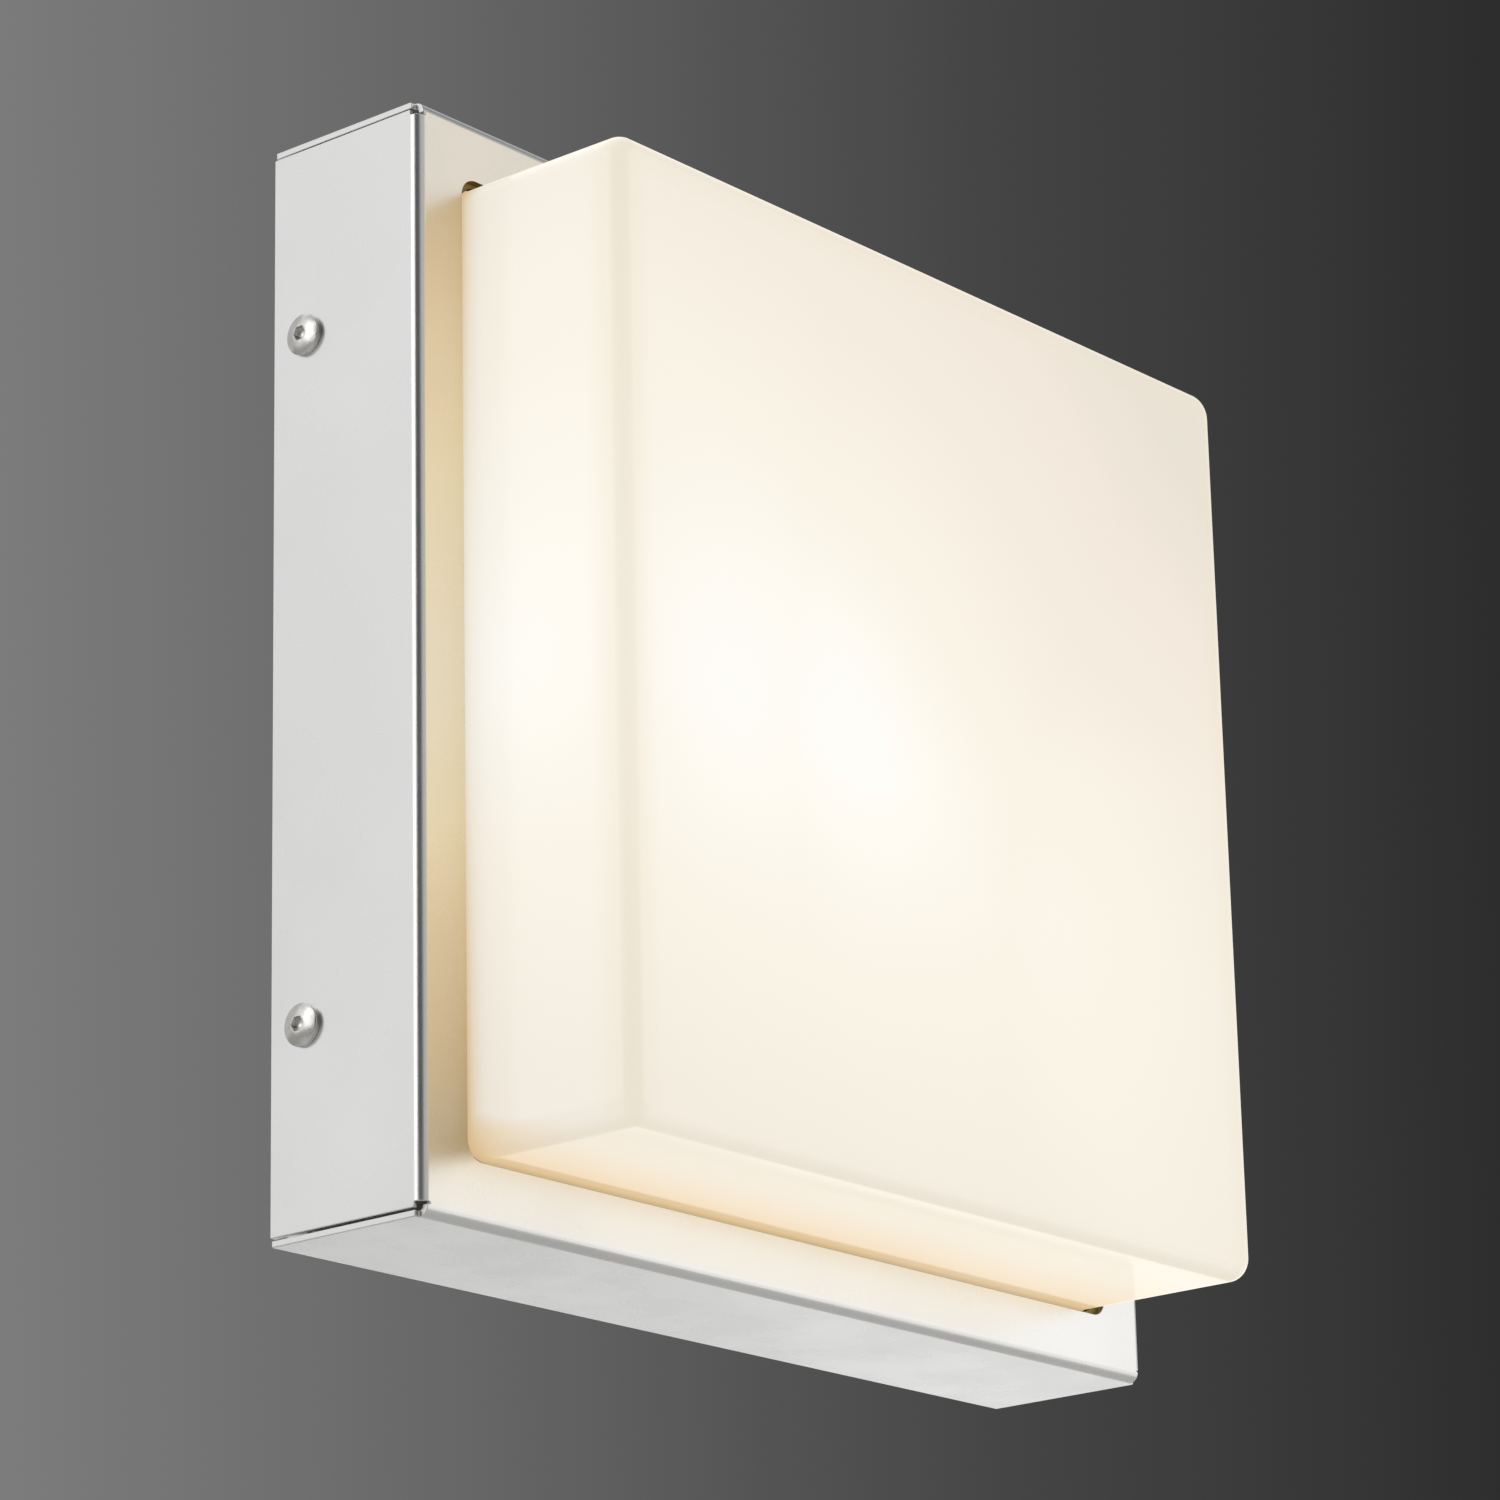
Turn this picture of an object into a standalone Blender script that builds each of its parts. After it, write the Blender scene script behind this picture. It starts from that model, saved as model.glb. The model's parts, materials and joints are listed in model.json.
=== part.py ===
"""Outdoor wall lantern: a folded steel cover with an opal glass box, on a wall plate that holds one lamp.

The frame's origin is the centre of the wall face. X runs to the right seen from the front, +Z is up, and
the lantern stands out from the wall along -Y. "Depth" below is the distance from the wall, minus Y.
Pieces that touch keep CLEARANCE between them. All lengths are in metres.
"""

import math

import bmesh
import bpy
from mathutils import Matrix, Vector

MM = 0.001
CLEARANCE = 0.3 * MM

# Driving dimensions of the folded cover
HOUSING_SIZE = 250 * MM
HOUSING_DEPTH = 44.5 * MM
HOUSING_REAR = 0.8 * MM
SHEET = 1.5 * MM
BEND_RADIUS = 2.5 * MM
OPENING_SIZE = 222 * MM
OPENING_RADIUS = 4.5 * MM

# Driving dimensions of the glass
GLASS_SIZE = 220 * MM
GLASS_DEPTH = 89 * MM
GLASS_WALL = 3.5 * MM
GLASS_CORNER = 6 * MM
GLASS_EDGE = 4.3 * MM
FLANGE_WIDTH = 4.5 * MM
FLANGE_THICKNESS = 4 * MM
GASKET_THICKNESS = 1.8 * MM

# Glass clips: a strip on each side, its stud and its M3 nut
CLIP_SHEET = 0.8 * MM
CLIP_HALF_WIDTH = 15 * MM
CLIP_STUD_INSET = 5.4 * MM
CLIP_STUD_END = 36 * MM
CLIP_STUD_RADIUS = 1.5 * MM
CLIP_NUT_ACROSS = 5.5 * MM
CLIP_NUT_HEIGHT = 2.4 * MM

# Cover screws: M5 with low button heads, two on each side, in oblong nuts
SCREW_HEIGHT = 78.5 * MM
SCREW_DEPTH = 10.5 * MM
SCREW_LENGTH = 12 * MM
SCREW_RADIUS = 2.5 * MM
SCREW_HEAD_RADIUS = 4.75 * MM
SCREW_RIM_HEIGHT = 0.25 * MM
SCREW_RIM_SLOPE = math.radians(44)
SCREW_FACE_RADIUS = 1.9 * MM
SCREW_SOCKET = 3 * MM
SCREW_SOCKET_DEPTH = 1.5 * MM
SCREW_HOLE_RADIUS = 2.8 * MM
NUT_THICKNESS = 3 * MM
NUT_HALF_HEIGHT = 5 * MM
NUT_REAR = 2.3 * MM
NUT_FRONT = 15 * MM

# Wall plate
PLATE_WIDTH = 245.8 * MM
PLATE_HEIGHT = 245.6 * MM
SIDE_FLANGE_DEPTH = 19 * MM
END_FLANGE_DEPTH = 7 * MM
WALL_SLOT_OFFSET = 95 * MM
WALL_SLOT_LENGTH = 14 * MM
WALL_SLOT_RADIUS = 2.75 * MM
CABLE_HOLE = (40 * MM, -80 * MM)
CABLE_HOLE_RADIUS = 10 * MM
M3_HOLE_RADIUS = 1.9 * MM

# The lamp lies on the plate's diagonal with its cap towards the upper right corner.
# Its heights along that axis are counted from the centre of the plate.
LAMP_DEPTH = 46 * MM
LAMP_ANGLE = math.radians(45)
LAMP_TIP = 75 * MM
GLOBE_RADIUS = 30 * MM
GLOBE_CENTRE = -5 * MM
GLOBE_WALL = 1.5 * MM
GLOBE_RIM = 13.7 * MM
HOLDER_RIM = 46 * MM
HOLDER_REAR = 98 * MM
HOLDER_BORE = 14.6 * MM
HOLDER_FLOOR = 18 * MM
SHELL_THICKNESS = 0.6 * MM
BRACKET_HALF_WIDTH = 17 * MM
BRACKET_FOOT_END = 119 * MM
HOLDER_SCREW_OFFSET = 13.5 * MM
RIVET_OFFSET = 10 * MM
RIVET_HEIGHT = 111 * MM
WIRE_HOLE = (4 * MM, 7 * MM)
THREAD_PITCH = 3.62 * MM

# Wiring
WIRE_RADIUS = 1.1 * MM
BLOCK_CENTRE = (70 * MM, -52 * MM)
BLOCK_SIZE = (30 * MM, 17 * MM)
BLOCK_TOP = 16.8 * MM
POLE_SPACING = 10 * MM
BLOCK_SCREW_X = BLOCK_CENTRE[0] + POLE_SPACING / 2
POLE_DEPTH = 7 * MM
POLE_BORE_RADIUS = 1.9 * MM
WELL_RADIUS = 2.2 * MM
WELL_OFFSET = 5 * MM
TERMINAL_SCREW = (8.6 * MM, 15.4 * MM)
TERMINAL_SCREW_RADIUS = 1.8 * MM
EARTH_STUD = (50 * MM, -22 * MM)
EARTH_STUD_END = 12 * MM
EARTH_STUD_RADIUS = 2 * MM
EARTH_NUT_ACROSS = 7 * MM
EARTH_NUT_HEIGHT = 3.2 * MM
WASHER_RADIUS = 4.2 * MM
WASHER_THICKNESS = 0.8 * MM
LUG_THICKNESS = 0.8 * MM
LUG_BARREL_RADIUS = 2 * MM
LUG_BARREL_END = 14 * MM

BEND_STEPS = 6
STRIP_BEND_STEPS = 3
CORNER_STEPS = 9
ROUND_STEPS = 24
SMALL_STEPS = 16
FINE_STEPS = 12
SLOT_END_STEPS = 8
GLOBE_STEPS = 10
DOME_STEPS = 5
ROUTE_STEPS = 3
SMOOTH_ANGLE = math.radians(30)
MERGE_DISTANCE = 0.001 * MM


# ---------------------------------------------------------------- materials


def make_material(name, colour, roughness, metallic=0.0):
    mat = bpy.data.materials.new(name)
    mat.use_nodes = True
    shader = mat.node_tree.nodes["Principled BSDF"]
    shader.inputs["Base Color"].default_value = (*colour, 1.0)
    shader.inputs["Roughness"].default_value = roughness
    shader.inputs["Metallic"].default_value = metallic
    return mat


def make_materials():
    return {
        "satin_steel": make_material("satin_steel", (0.78, 0.78, 0.77), 0.3, 1.0),
        "opal_glass": make_material("opal_glass", (0.95, 0.91, 0.83), 0.12),
        "silicone": make_material("silicone", (0.62, 0.56, 0.40), 0.5),
        "stainless": make_material("stainless", (0.62, 0.61, 0.60), 0.28, 1.0),
        "zinc": make_material("zinc", (0.66, 0.67, 0.69), 0.38, 1.0),
        "nickel": make_material("nickel", (0.70, 0.67, 0.61), 0.25, 1.0),
        "brass": make_material("brass", (0.78, 0.60, 0.30), 0.3, 1.0),
        "porcelain": make_material("porcelain", (0.86, 0.85, 0.81), 0.2),
        "black_glass": make_material("black_glass", (0.03, 0.03, 0.035), 0.15),
        "white_plastic": make_material("white_plastic", (0.84, 0.84, 0.82), 0.4),
        "opal_plastic": make_material("opal_plastic", (0.95, 0.93, 0.88), 0.3),
        "circuit_board": make_material("circuit_board", (0.80, 0.80, 0.78), 0.5),
        "terminal_plastic": make_material("terminal_plastic", (0.82, 0.82, 0.80), 0.45),
        "black_rubber": make_material("black_rubber", (0.04, 0.04, 0.04), 0.7),
        "brown_sleeve": make_material("brown_sleeve", (0.20, 0.09, 0.04), 0.5),
        "blue_sleeve": make_material("blue_sleeve", (0.05, 0.16, 0.50), 0.5),
        "green_yellow_sleeve": make_material("green_yellow_sleeve", (0.28, 0.50, 0.08), 0.5),
    }


# ---------------------------------------------------------------- making objects


def remove_everything():
    for obj in list(bpy.data.objects):
        bpy.data.objects.remove(obj)


def add_empty(name, location=(0, 0, 0), rotation=(0, 0, 0), parent=None):
    empty = bpy.data.objects.new(name, None)
    bpy.context.collection.objects.link(empty)
    empty.location = location
    empty.rotation_euler = rotation
    empty.parent = parent
    return empty


def add_object(name, bm, mat, parent=None):
    """Turns a closed bmesh into a named object with its faces outward."""
    bmesh.ops.recalc_face_normals(bm, faces=bm.faces)
    return link_mesh(name, bm, mat, parent)


def link_mesh(name, bm, mat, parent=None):
    """Turns a bmesh into a named object, smooth except at its sharp edges."""
    mesh = bpy.data.meshes.new(name)
    bm.to_mesh(mesh)
    bm.free()
    mesh.shade_smooth()
    mesh.set_sharp_from_angle(angle=SMOOTH_ANGLE)
    if mat is not None:
        mesh.materials.append(mat)
    obj = bpy.data.objects.new(name, mesh)
    bpy.context.collection.objects.link(obj)
    obj.parent = parent
    return obj


def in_millimetres(points):
    return [(a * MM, b * MM) for a, b in points]


def face_front(obj, x, z):
    """Stands an object's own Z axis out from the wall, with its origin on the wall face."""
    obj.rotation_euler = (math.radians(90), 0, 0)
    obj.location = (x, 0, z)
    return obj


def prism(name, outline, axis, low, high, mat=None, parent=None):
    """Extrudes a closed 2-D outline. It lies in (Y, Z), (X, Z) or (X, Y) for an axis of 0, 1 or 2."""
    bm = bmesh.new()
    corners = []
    for a, b in outline:
        point = [a, b]
        point.insert(axis, low)
        corners.append(bm.verts.new(point))
    face = bm.faces.new(corners)
    grown = bmesh.ops.extrude_face_region(bm, geom=[face])
    step = [0, 0, 0]
    step[axis] = high - low
    verts = [item for item in grown["geom"] if isinstance(item, bmesh.types.BMVert)]
    bmesh.ops.translate(bm, vec=step, verts=verts)
    return add_object(name, bm, mat, parent)


def box(name, low, high, mat=None, parent=None):
    outline = [(low[0], low[2]), (high[0], low[2]), (high[0], high[2]), (low[0], high[2])]
    return prism(name, outline, 1, low[1], high[1], mat, parent)


def lathe(name, profile, mat=None, parent=None, steps=ROUND_STEPS, ring=False):
    """Spins a profile of (radius, height) points about Z. A ring's is closed, others end on the axis."""
    bm = bmesh.new()
    verts = [bm.verts.new((radius, 0, height)) for radius, height in profile]
    pairs = list(zip(verts, verts[1:]))
    if ring:
        pairs.append((verts[-1], verts[0]))
    edges = [bm.edges.new(pair) for pair in pairs]
    turn = {"cent": (0, 0, 0), "axis": (0, 0, 1), "angle": math.tau, "steps": steps, "use_merge": True}
    bmesh.ops.spin(bm, geom=verts + edges, **turn)
    bmesh.ops.remove_doubles(bm, verts=bm.verts, dist=MERGE_DISTANCE)
    return add_object(name, bm, mat, parent)


def tube_around(name, loops, mat, parent=None, capped=True):
    """Joins equal loops of points in order. The first and last are capped, or else joined to each other."""
    bm = bmesh.new()
    rings = [[bm.verts.new(point) for point in loop] for loop in loops]
    pairs = list(zip(rings, rings[1:]))
    if capped:
        bm.faces.new(rings[0])
        bm.faces.new(rings[-1])
    else:
        pairs.append((rings[-1], rings[0]))
    for ring, following in pairs:
        for i, vert in enumerate(ring):
            j = (i + 1) % len(ring)
            bm.faces.new((vert, ring[j], following[j], following[i]))
    return add_object(name, bm, mat, parent)


def add_boolean(obj, other, operation):
    other.hide_render = True
    other.display_type = "WIRE"
    boolean = obj.modifiers.new(other.name, "BOOLEAN")
    boolean.operation = operation
    boolean.solver = "EXACT"
    boolean.object = other


def cut(obj, *cutters):
    """Takes each cutter out of an object with a Boolean. Cutters stay in the scene as hidden guides."""
    for cutter in cutters:
        add_boolean(obj, cutter, "DIFFERENCE")
    return obj


def thicken(obj, thickness, offset):
    solidify = obj.modifiers.new("sheet", "SOLIDIFY")
    solidify.thickness = thickness
    solidify.offset = offset
    solidify.use_even_offset = True
    return obj


# ---------------------------------------------------------------- outlines


def arc(centre_a, centre_b, radius, start, end, steps):
    """Points along an arc, its angles in degrees from the first axis towards the second."""
    angles = [math.radians(start + (end - start) * i / steps) for i in range(steps + 1)]
    return [(centre_a + radius * math.cos(t), centre_b + radius * math.sin(t)) for t in angles]


def rounded_square(half, radius, steps=CORNER_STEPS):
    """A square's outline with round corners, counter-clockwise from its right side."""
    inner = half - radius
    points = []
    for turn, (sign_a, sign_b) in enumerate([(1, 1), (-1, 1), (-1, -1), (1, -1)]):
        points += arc(sign_a * inner, sign_b * inner, radius, 90 * turn, 90 * turn + 90, steps)
    return points


def circle(centre_a, centre_b, radius, steps=SMALL_STEPS):
    return arc(centre_a, centre_b, radius, 0, 360, steps)[:-1]


def slot(centre_a, centre_b, half_a, half_b, radius):
    """A round-ended slot. half_a or half_b is the distance from its middle to each arc, and the other 0."""
    turn = -90 if half_a else 0
    first = arc(centre_a + half_a, centre_b + half_b, radius, turn, turn + 180, SLOT_END_STEPS)
    second = arc(centre_a - half_a, centre_b - half_b, radius, turn + 180, turn + 360, SLOT_END_STEPS)
    return first + second


def hexagon(across_flats):
    return arc(0, 0, across_flats / math.sqrt(3), 30, 330, 5)


def bent_path(corners, radius):
    """Rounds the inner corners of a 2-D path, as a press brake would."""
    points = [Vector(corners[0])]
    for before, corner, after in zip(corners, corners[1:], corners[2:]):
        corner = Vector(corner)
        towards = (Vector(before) - corner).normalized()
        away = (Vector(after) - corner).normalized()
        half_angle = towards.angle(away) / 2
        reach = radius / math.tan(half_angle)
        centre = corner + (towards + away).normalized() * radius / math.sin(half_angle)
        spoke = corner + towards * reach - centre
        turn = math.pi - 2 * half_angle
        if towards.cross(away) > 0:
            turn = -turn
        for i in range(STRIP_BEND_STEPS + 1):
            points.append(centre + Matrix.Rotation(turn * i / STRIP_BEND_STEPS, 2) @ spoke)
    points.append(Vector(corners[-1]))
    return points


def smooth_route(points):
    """A Catmull-Rom curve through a route's own points."""
    route = [Vector(point) for point in points]
    route = [2 * route[0] - route[1]] + route + [2 * route[-1] - route[-2]]
    curve = []
    for a, b, c, d in zip(route, route[1:], route[2:], route[3:]):
        for i in range(ROUTE_STEPS):
            t = i / ROUTE_STEPS
            square = 2 * a - 5 * b + 4 * c - d
            cube = 3 * b - a - 3 * c + d
            curve.append(b + 0.5 * ((c - a) * t + square * t**2 + cube * t**3))
    curve.append(route[-2])
    return curve


# ---------------------------------------------------------------- folded sheet


def wall_strip(bm, place, inner, outer, start_depth, step, wall_end, lengths):
    """Adds one bend and its wall to a tray, and returns the points where the bend leaves the flat.

    place(across, depth, along) gives a point. The bend turns from the flat at inner to the wall at outer.
    lengths are the half lengths of the flat's edge, of the bend and of the wall, which differ at a relief.
    """
    flat_half, bend_half, wall_half = lengths
    radius = outer - inner
    rows = []
    for i in range(BEND_STEPS + 1):
        angle = math.radians(90 * i / BEND_STEPS)
        across = inner + radius * math.sin(angle)
        depth = start_depth + step * radius * (1 - math.cos(angle))
        halves = {bend_half}
        if i == 0:
            halves.add(min(flat_half, bend_half))
        if i == BEND_STEPS:
            halves.add(wall_half)
        alongs = sorted({sign * half for half in halves for sign in (-1, 1)})
        rows.append([bm.verts.new(place(across, depth, along)) for along in alongs])
    end_row = [bm.verts.new(place(outer, wall_end, sign * wall_half)) for sign in (-1, 1)]
    for i in range(BEND_STEPS):
        near = rows[i]
        far = rows[i + 1] if i + 1 < BEND_STEPS or wall_half <= bend_half else rows[i + 1][1:-1]
        bm.faces.new(near + far[::-1])
    bm.faces.new(rows[-1] + end_row[::-1])
    return rows[0]


def folded_tray(name, half_x, half_z, flat_depth, step, ends, side_lengths, end_lengths, mat):
    """A square tray folded from one sheet, with open corners.

    Its outer face is modelled and thickened inwards. step is +1 where the walls stand away from the house
    and -1 where they run towards it. ends are the depths where the side and the top and bottom walls stop.
    The lengths are the half lengths of the bends and of the walls.
    """
    bm = bmesh.new()
    flat_x = half_x - BEND_RADIUS
    flat_z = half_z - BEND_RADIUS
    edges = {}
    for sign in (-1, 1):
        def on_side(across, depth, along):
            return (sign * across, -depth, along)

        def on_end(across, depth, along):
            return (along, -depth, sign * across)

        side = (flat_z, *side_lengths)
        end = (flat_x, *end_lengths)
        edges["side", sign] = wall_strip(bm, on_side, flat_x, half_x, flat_depth, step, ends[0], side)
        edges["end", sign] = wall_strip(bm, on_end, flat_z, half_z, flat_depth, step, ends[1], end)
    corners = {}
    for sign_x in (-1, 1):
        for sign_z in (-1, 1):
            corners[sign_x, sign_z] = bm.verts.new((sign_x * flat_x, -flat_depth, sign_z * flat_z))
    bottom = [vert for vert in edges["end", -1] if abs(vert.co.x) <= flat_x]
    top = [vert for vert in edges["end", 1] if abs(vert.co.x) <= flat_x]
    outline = [corners[-1, -1], *bottom, corners[1, -1], *edges["side", 1]]
    outline += [corners[1, 1], *top[::-1], corners[-1, 1], *edges["side", -1][::-1]]
    bm.faces.new(outline)
    bmesh.ops.remove_doubles(bm, verts=bm.verts, dist=MERGE_DISTANCE)
    bmesh.ops.recalc_face_normals(bm, faces=bm.faces)
    flat_face = max(bm.faces, key=lambda face: face.calc_area())
    if flat_face.normal.y * step < 0:
        bmesh.ops.reverse_faces(bm, faces=bm.faces)
    tray = link_mesh(name, bm, mat)
    return thicken(tray, SHEET, -1)


def folded_strip(name, corners, bend_radius, half_width, thickness, mat, parent, corner_radius=0.0):
    """A flat strip bent along a path in X and Y, its width along Z, with its four corners rounded."""
    path = bent_path(corners, bend_radius)
    bm = bmesh.new()
    rows = [[bm.verts.new((x, y, z)) for z in (-half_width, half_width)] for x, y in path]
    for near, far in zip(rows, rows[1:]):
        bm.faces.new((near[0], near[1], far[1], far[0]))
    if corner_radius:
        ends = rows[0] + rows[-1]
        bmesh.ops.bevel(bm, geom=ends, offset=corner_radius, segments=4, affect="VERTICES", profile=0.5)
    strip = add_object(name, bm, mat, parent)
    return thicken(strip, thickness, 0)


# ---------------------------------------------------------------- cover


def make_housing(mats):
    """The cover: a front plate with a square opening and four walls, the top and bottom over the sides."""
    half = HOUSING_SIZE / 2
    flat = half - BEND_RADIUS
    side = (flat - 0.6 * MM, half - SHEET - 0.4 * MM)
    end = (half - 1.7 * MM, half - 0.4 * MM)
    rear = (HOUSING_REAR, HOUSING_REAR)
    housing = folded_tray("housing", half, half, HOUSING_DEPTH, -1, rear, side, end, mats["satin_steel"])
    opening = rounded_square(OPENING_SIZE / 2, OPENING_RADIUS)
    front = (1, -HOUSING_DEPTH - SHEET, -HOUSING_DEPTH + 2 * SHEET)
    cutters = [prism("housing_opening_cutter", opening, *front)]
    for sign, label in ((1, "upper"), (-1, "lower")):
        hole = circle(-SCREW_DEPTH, sign * SCREW_HEIGHT, SCREW_HOLE_RADIUS)
        cutters.append(prism(f"housing_{label}_holes_cutter", hole, 0, -half - SHEET, half + SHEET))
    return cut(housing, *cutters)


def glass_loop(inset, depth):
    """The glass's plan outline, moved in from its outer face by inset, at a depth."""
    half = GLASS_SIZE / 2 - inset
    radius = max(GLASS_CORNER - inset, 1 * MM)
    return [(x, -depth, z) for x, z in rounded_square(half, radius)]


def make_glass(mats):
    """An open box of opal glass: a flat front with round edges, straight sides and a flange at the rear."""
    flange_front = HOUSING_DEPTH - SHEET - GASKET_THICKNESS - 2 * CLEARANCE
    flange_rear = flange_front - FLANGE_THICKNESS
    outer_edge = arc(GLASS_EDGE, GLASS_DEPTH - GLASS_EDGE, GLASS_EDGE, 90, 180, 6)
    inner_radius = GLASS_EDGE - GLASS_WALL
    inner_edge = arc(GLASS_EDGE, GLASS_DEPTH - GLASS_EDGE, inner_radius, 180, 90, 4)
    flange_edge = arc(-FLANGE_WIDTH + 1 * MM, flange_front - 1 * MM, 1 * MM, 90, 180, 3)
    section = [
        *outer_edge,
        (0, flange_front),
        *flange_edge,
        (-FLANGE_WIDTH, flange_rear),
        (GLASS_WALL, flange_rear),
        *inner_edge,
    ]
    loops = [glass_loop(inset, depth) for inset, depth in section]
    return tube_around("glass_diffuser", loops, mats["opal_glass"])


def make_gasket(mats):
    """A silicone ring between the front plate and the glass's flange."""
    front = HOUSING_DEPTH - SHEET - CLEARANCE
    rear = front - GASKET_THICKNESS
    outer = -FLANGE_WIDTH - 0.4 * MM
    section = [(-CLEARANCE, front), (outer, front), (outer, rear), (-CLEARANCE, rear)]
    loops = [glass_loop(inset, depth) for inset, depth in section]
    return tube_around("glass_gasket", loops, mats["silicone"], capped=False)


def make_glass_clip(label, angle, mats):
    """A bent spring clip on a press-in stud with a nut. It holds the glass's flange to the front plate."""
    side = add_empty(f"{label}_clip_side", rotation=(0, angle, 0))
    foot_depth = HOUSING_DEPTH - SHEET - CLEARANCE * 2
    lip_depth = foot_depth - GASKET_THICKNESS - FLANGE_THICKNESS - 0.8 * MM
    riser = GLASS_SIZE / 2 + FLANGE_WIDTH + 1.5 * MM
    stud_across = HOUSING_SIZE / 2 - CLIP_STUD_INSET
    foot_end = HOUSING_SIZE / 2 - SHEET - 0.9 * MM
    lip_end = GLASS_SIZE / 2 + 1.6 * MM
    corners = [(foot_end, -foot_depth), (riser, -foot_depth), (riser, -lip_depth), (lip_end, -lip_depth)]
    shape = (0.7 * MM, CLIP_HALF_WIDTH, CLIP_SHEET)
    clip = folded_strip(f"glass_clip_{label}", corners, *shape, mats["stainless"], side, 1.5 * MM)
    stud_root = HOUSING_DEPTH - SHEET - CLEARANCE
    stud = circle(stud_across, 0, CLIP_STUD_RADIUS, FINE_STEPS)
    prism(f"clip_stud_{label}", stud, 1, -stud_root, -CLIP_STUD_END, mats["zinc"], side)
    nut = prism(f"clip_nut_{label}", hexagon(CLIP_NUT_ACROSS), 1, 0, CLIP_NUT_HEIGHT, mats["zinc"], side)
    nut.location = (stud_across, 0.7 * MM - foot_depth, 0)
    bore = circle(stud_across, 0, CLIP_STUD_RADIUS + CLEARANCE, FINE_STEPS)
    cutter = prism(f"clip_{label}_cutter", bore, 1, -HOUSING_DEPTH, 0, parent=side)
    cut(clip, cutter)
    cut(nut, cutter)


def make_cover_screw(label, side, height, mats):
    """An M5 screw with a low button head through the cover's side wall, and the clamp nut behind it."""
    axis = add_empty(
        f"{label}_screw_axis",
        location=(side * HOUSING_SIZE / 2, -SCREW_DEPTH, height),
        rotation=(0, side * math.radians(90), 0),
    )
    seat = CLEARANCE
    dome_radius = SCREW_HEAD_RADIUS / math.sin(SCREW_RIM_SLOPE)
    dome_centre = seat + SCREW_RIM_HEIGHT - dome_radius * math.cos(SCREW_RIM_SLOPE)
    face = math.degrees(math.acos(SCREW_FACE_RADIUS / dome_radius))
    rim = 90 - math.degrees(SCREW_RIM_SLOPE)
    dome = arc(0, dome_centre, dome_radius, face, rim, DOME_STEPS)
    top = dome[0][1]
    end = seat - SCREW_LENGTH
    profile = [(0, top), *dome, (SCREW_HEAD_RADIUS, seat), (SCREW_RADIUS, seat)]
    profile += [(SCREW_RADIUS, end + 0.4 * MM), (SCREW_RADIUS - 0.4 * MM, end), (0, end)]
    screw = lathe(f"cover_screw_{label}", profile, mats["stainless"], axis)
    bottom = top - SCREW_SOCKET_DEPTH
    socket = prism(f"cover_screw_{label}_cutter", hexagon(SCREW_SOCKET), 2, bottom, top + MM, parent=axis)
    cut(screw, socket)
    make_clamp_nut(label, side, height, mats)


def make_clamp_nut(label, side, height, mats):
    """An oblong nut behind the wall plate's flange. Its long end meets the plate if it tries to turn."""
    outer = PLATE_WIDTH / 2 - SHEET - CLEARANCE
    ends = sorted((side * outer, side * (outer - NUT_THICKNESS)))
    low = (ends[0], -NUT_FRONT, height - NUT_HALF_HEIGHT)
    high = (ends[1], -NUT_REAR, height + NUT_HALF_HEIGHT)
    nut = box(f"clamp_nut_{label}", low, high, mats["zinc"])
    hole = circle(-SCREW_DEPTH, height, SCREW_HOLE_RADIUS)
    cut(nut, prism(f"clamp_nut_{label}_cutter", hole, 0, low[0] - MM, high[0] + MM))


# ---------------------------------------------------------------- wall plate


def make_back_plate(mats):
    """The wall plate: a shallow tray. Open notches in its side flanges take the cover screws."""
    half_x = PLATE_WIDTH / 2
    half_z = PLATE_HEIGHT / 2
    side = [half_z - BEND_RADIUS - 0.5 * MM] * 2
    end = [half_x - BEND_RADIUS - 0.5 * MM] * 2
    front = (SIDE_FLANGE_DEPTH, END_FLANGE_DEPTH)
    plate = folded_tray("back_plate", half_x, half_z, 0, 1, front, side, end, mats["satin_steel"])
    cutters = []
    for sign, label in ((1, "upper"), (-1, "lower")):
        notch = slot(-SCREW_DEPTH - 10 * MM, sign * SCREW_HEIGHT, 10 * MM, 0, SCREW_HOLE_RADIUS)
        cutters.append(prism(f"{label}_notches_cutter", notch, 0, -half_x - MM, half_x + MM))
    reach = WALL_SLOT_LENGTH / 2 - WALL_SLOT_RADIUS
    rivets = [axis_point(sign * RIVET_OFFSET, 0, RIVET_HEIGHT) for sign in (-1, 1)]
    slots = {
        "left": slot(-WALL_SLOT_OFFSET, 0, reach, 0, WALL_SLOT_RADIUS),
        "right": slot(WALL_SLOT_OFFSET, 0, reach, 0, WALL_SLOT_RADIUS),
        "top": slot(0, WALL_SLOT_OFFSET, 0, reach, WALL_SLOT_RADIUS),
        "bottom": slot(0, -WALL_SLOT_OFFSET, 0, reach, WALL_SLOT_RADIUS),
        "cable": circle(*CABLE_HOLE, CABLE_HOLE_RADIUS, ROUND_STEPS),
        "block_screw": circle(BLOCK_SCREW_X, BLOCK_CENTRE[1], M3_HOLE_RADIUS, FINE_STEPS),
    }
    for label, rivet in zip(("left_rivet", "right_rivet"), rivets):
        slots[label] = circle(rivet.x, rivet.z, M3_HOLE_RADIUS, FINE_STEPS)
    for label, outline in slots.items():
        cutters.append(prism(f"{label}_hole_cutter", outline, 1, -2 * SHEET, SHEET))
    return cut(plate, *cutters)


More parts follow.
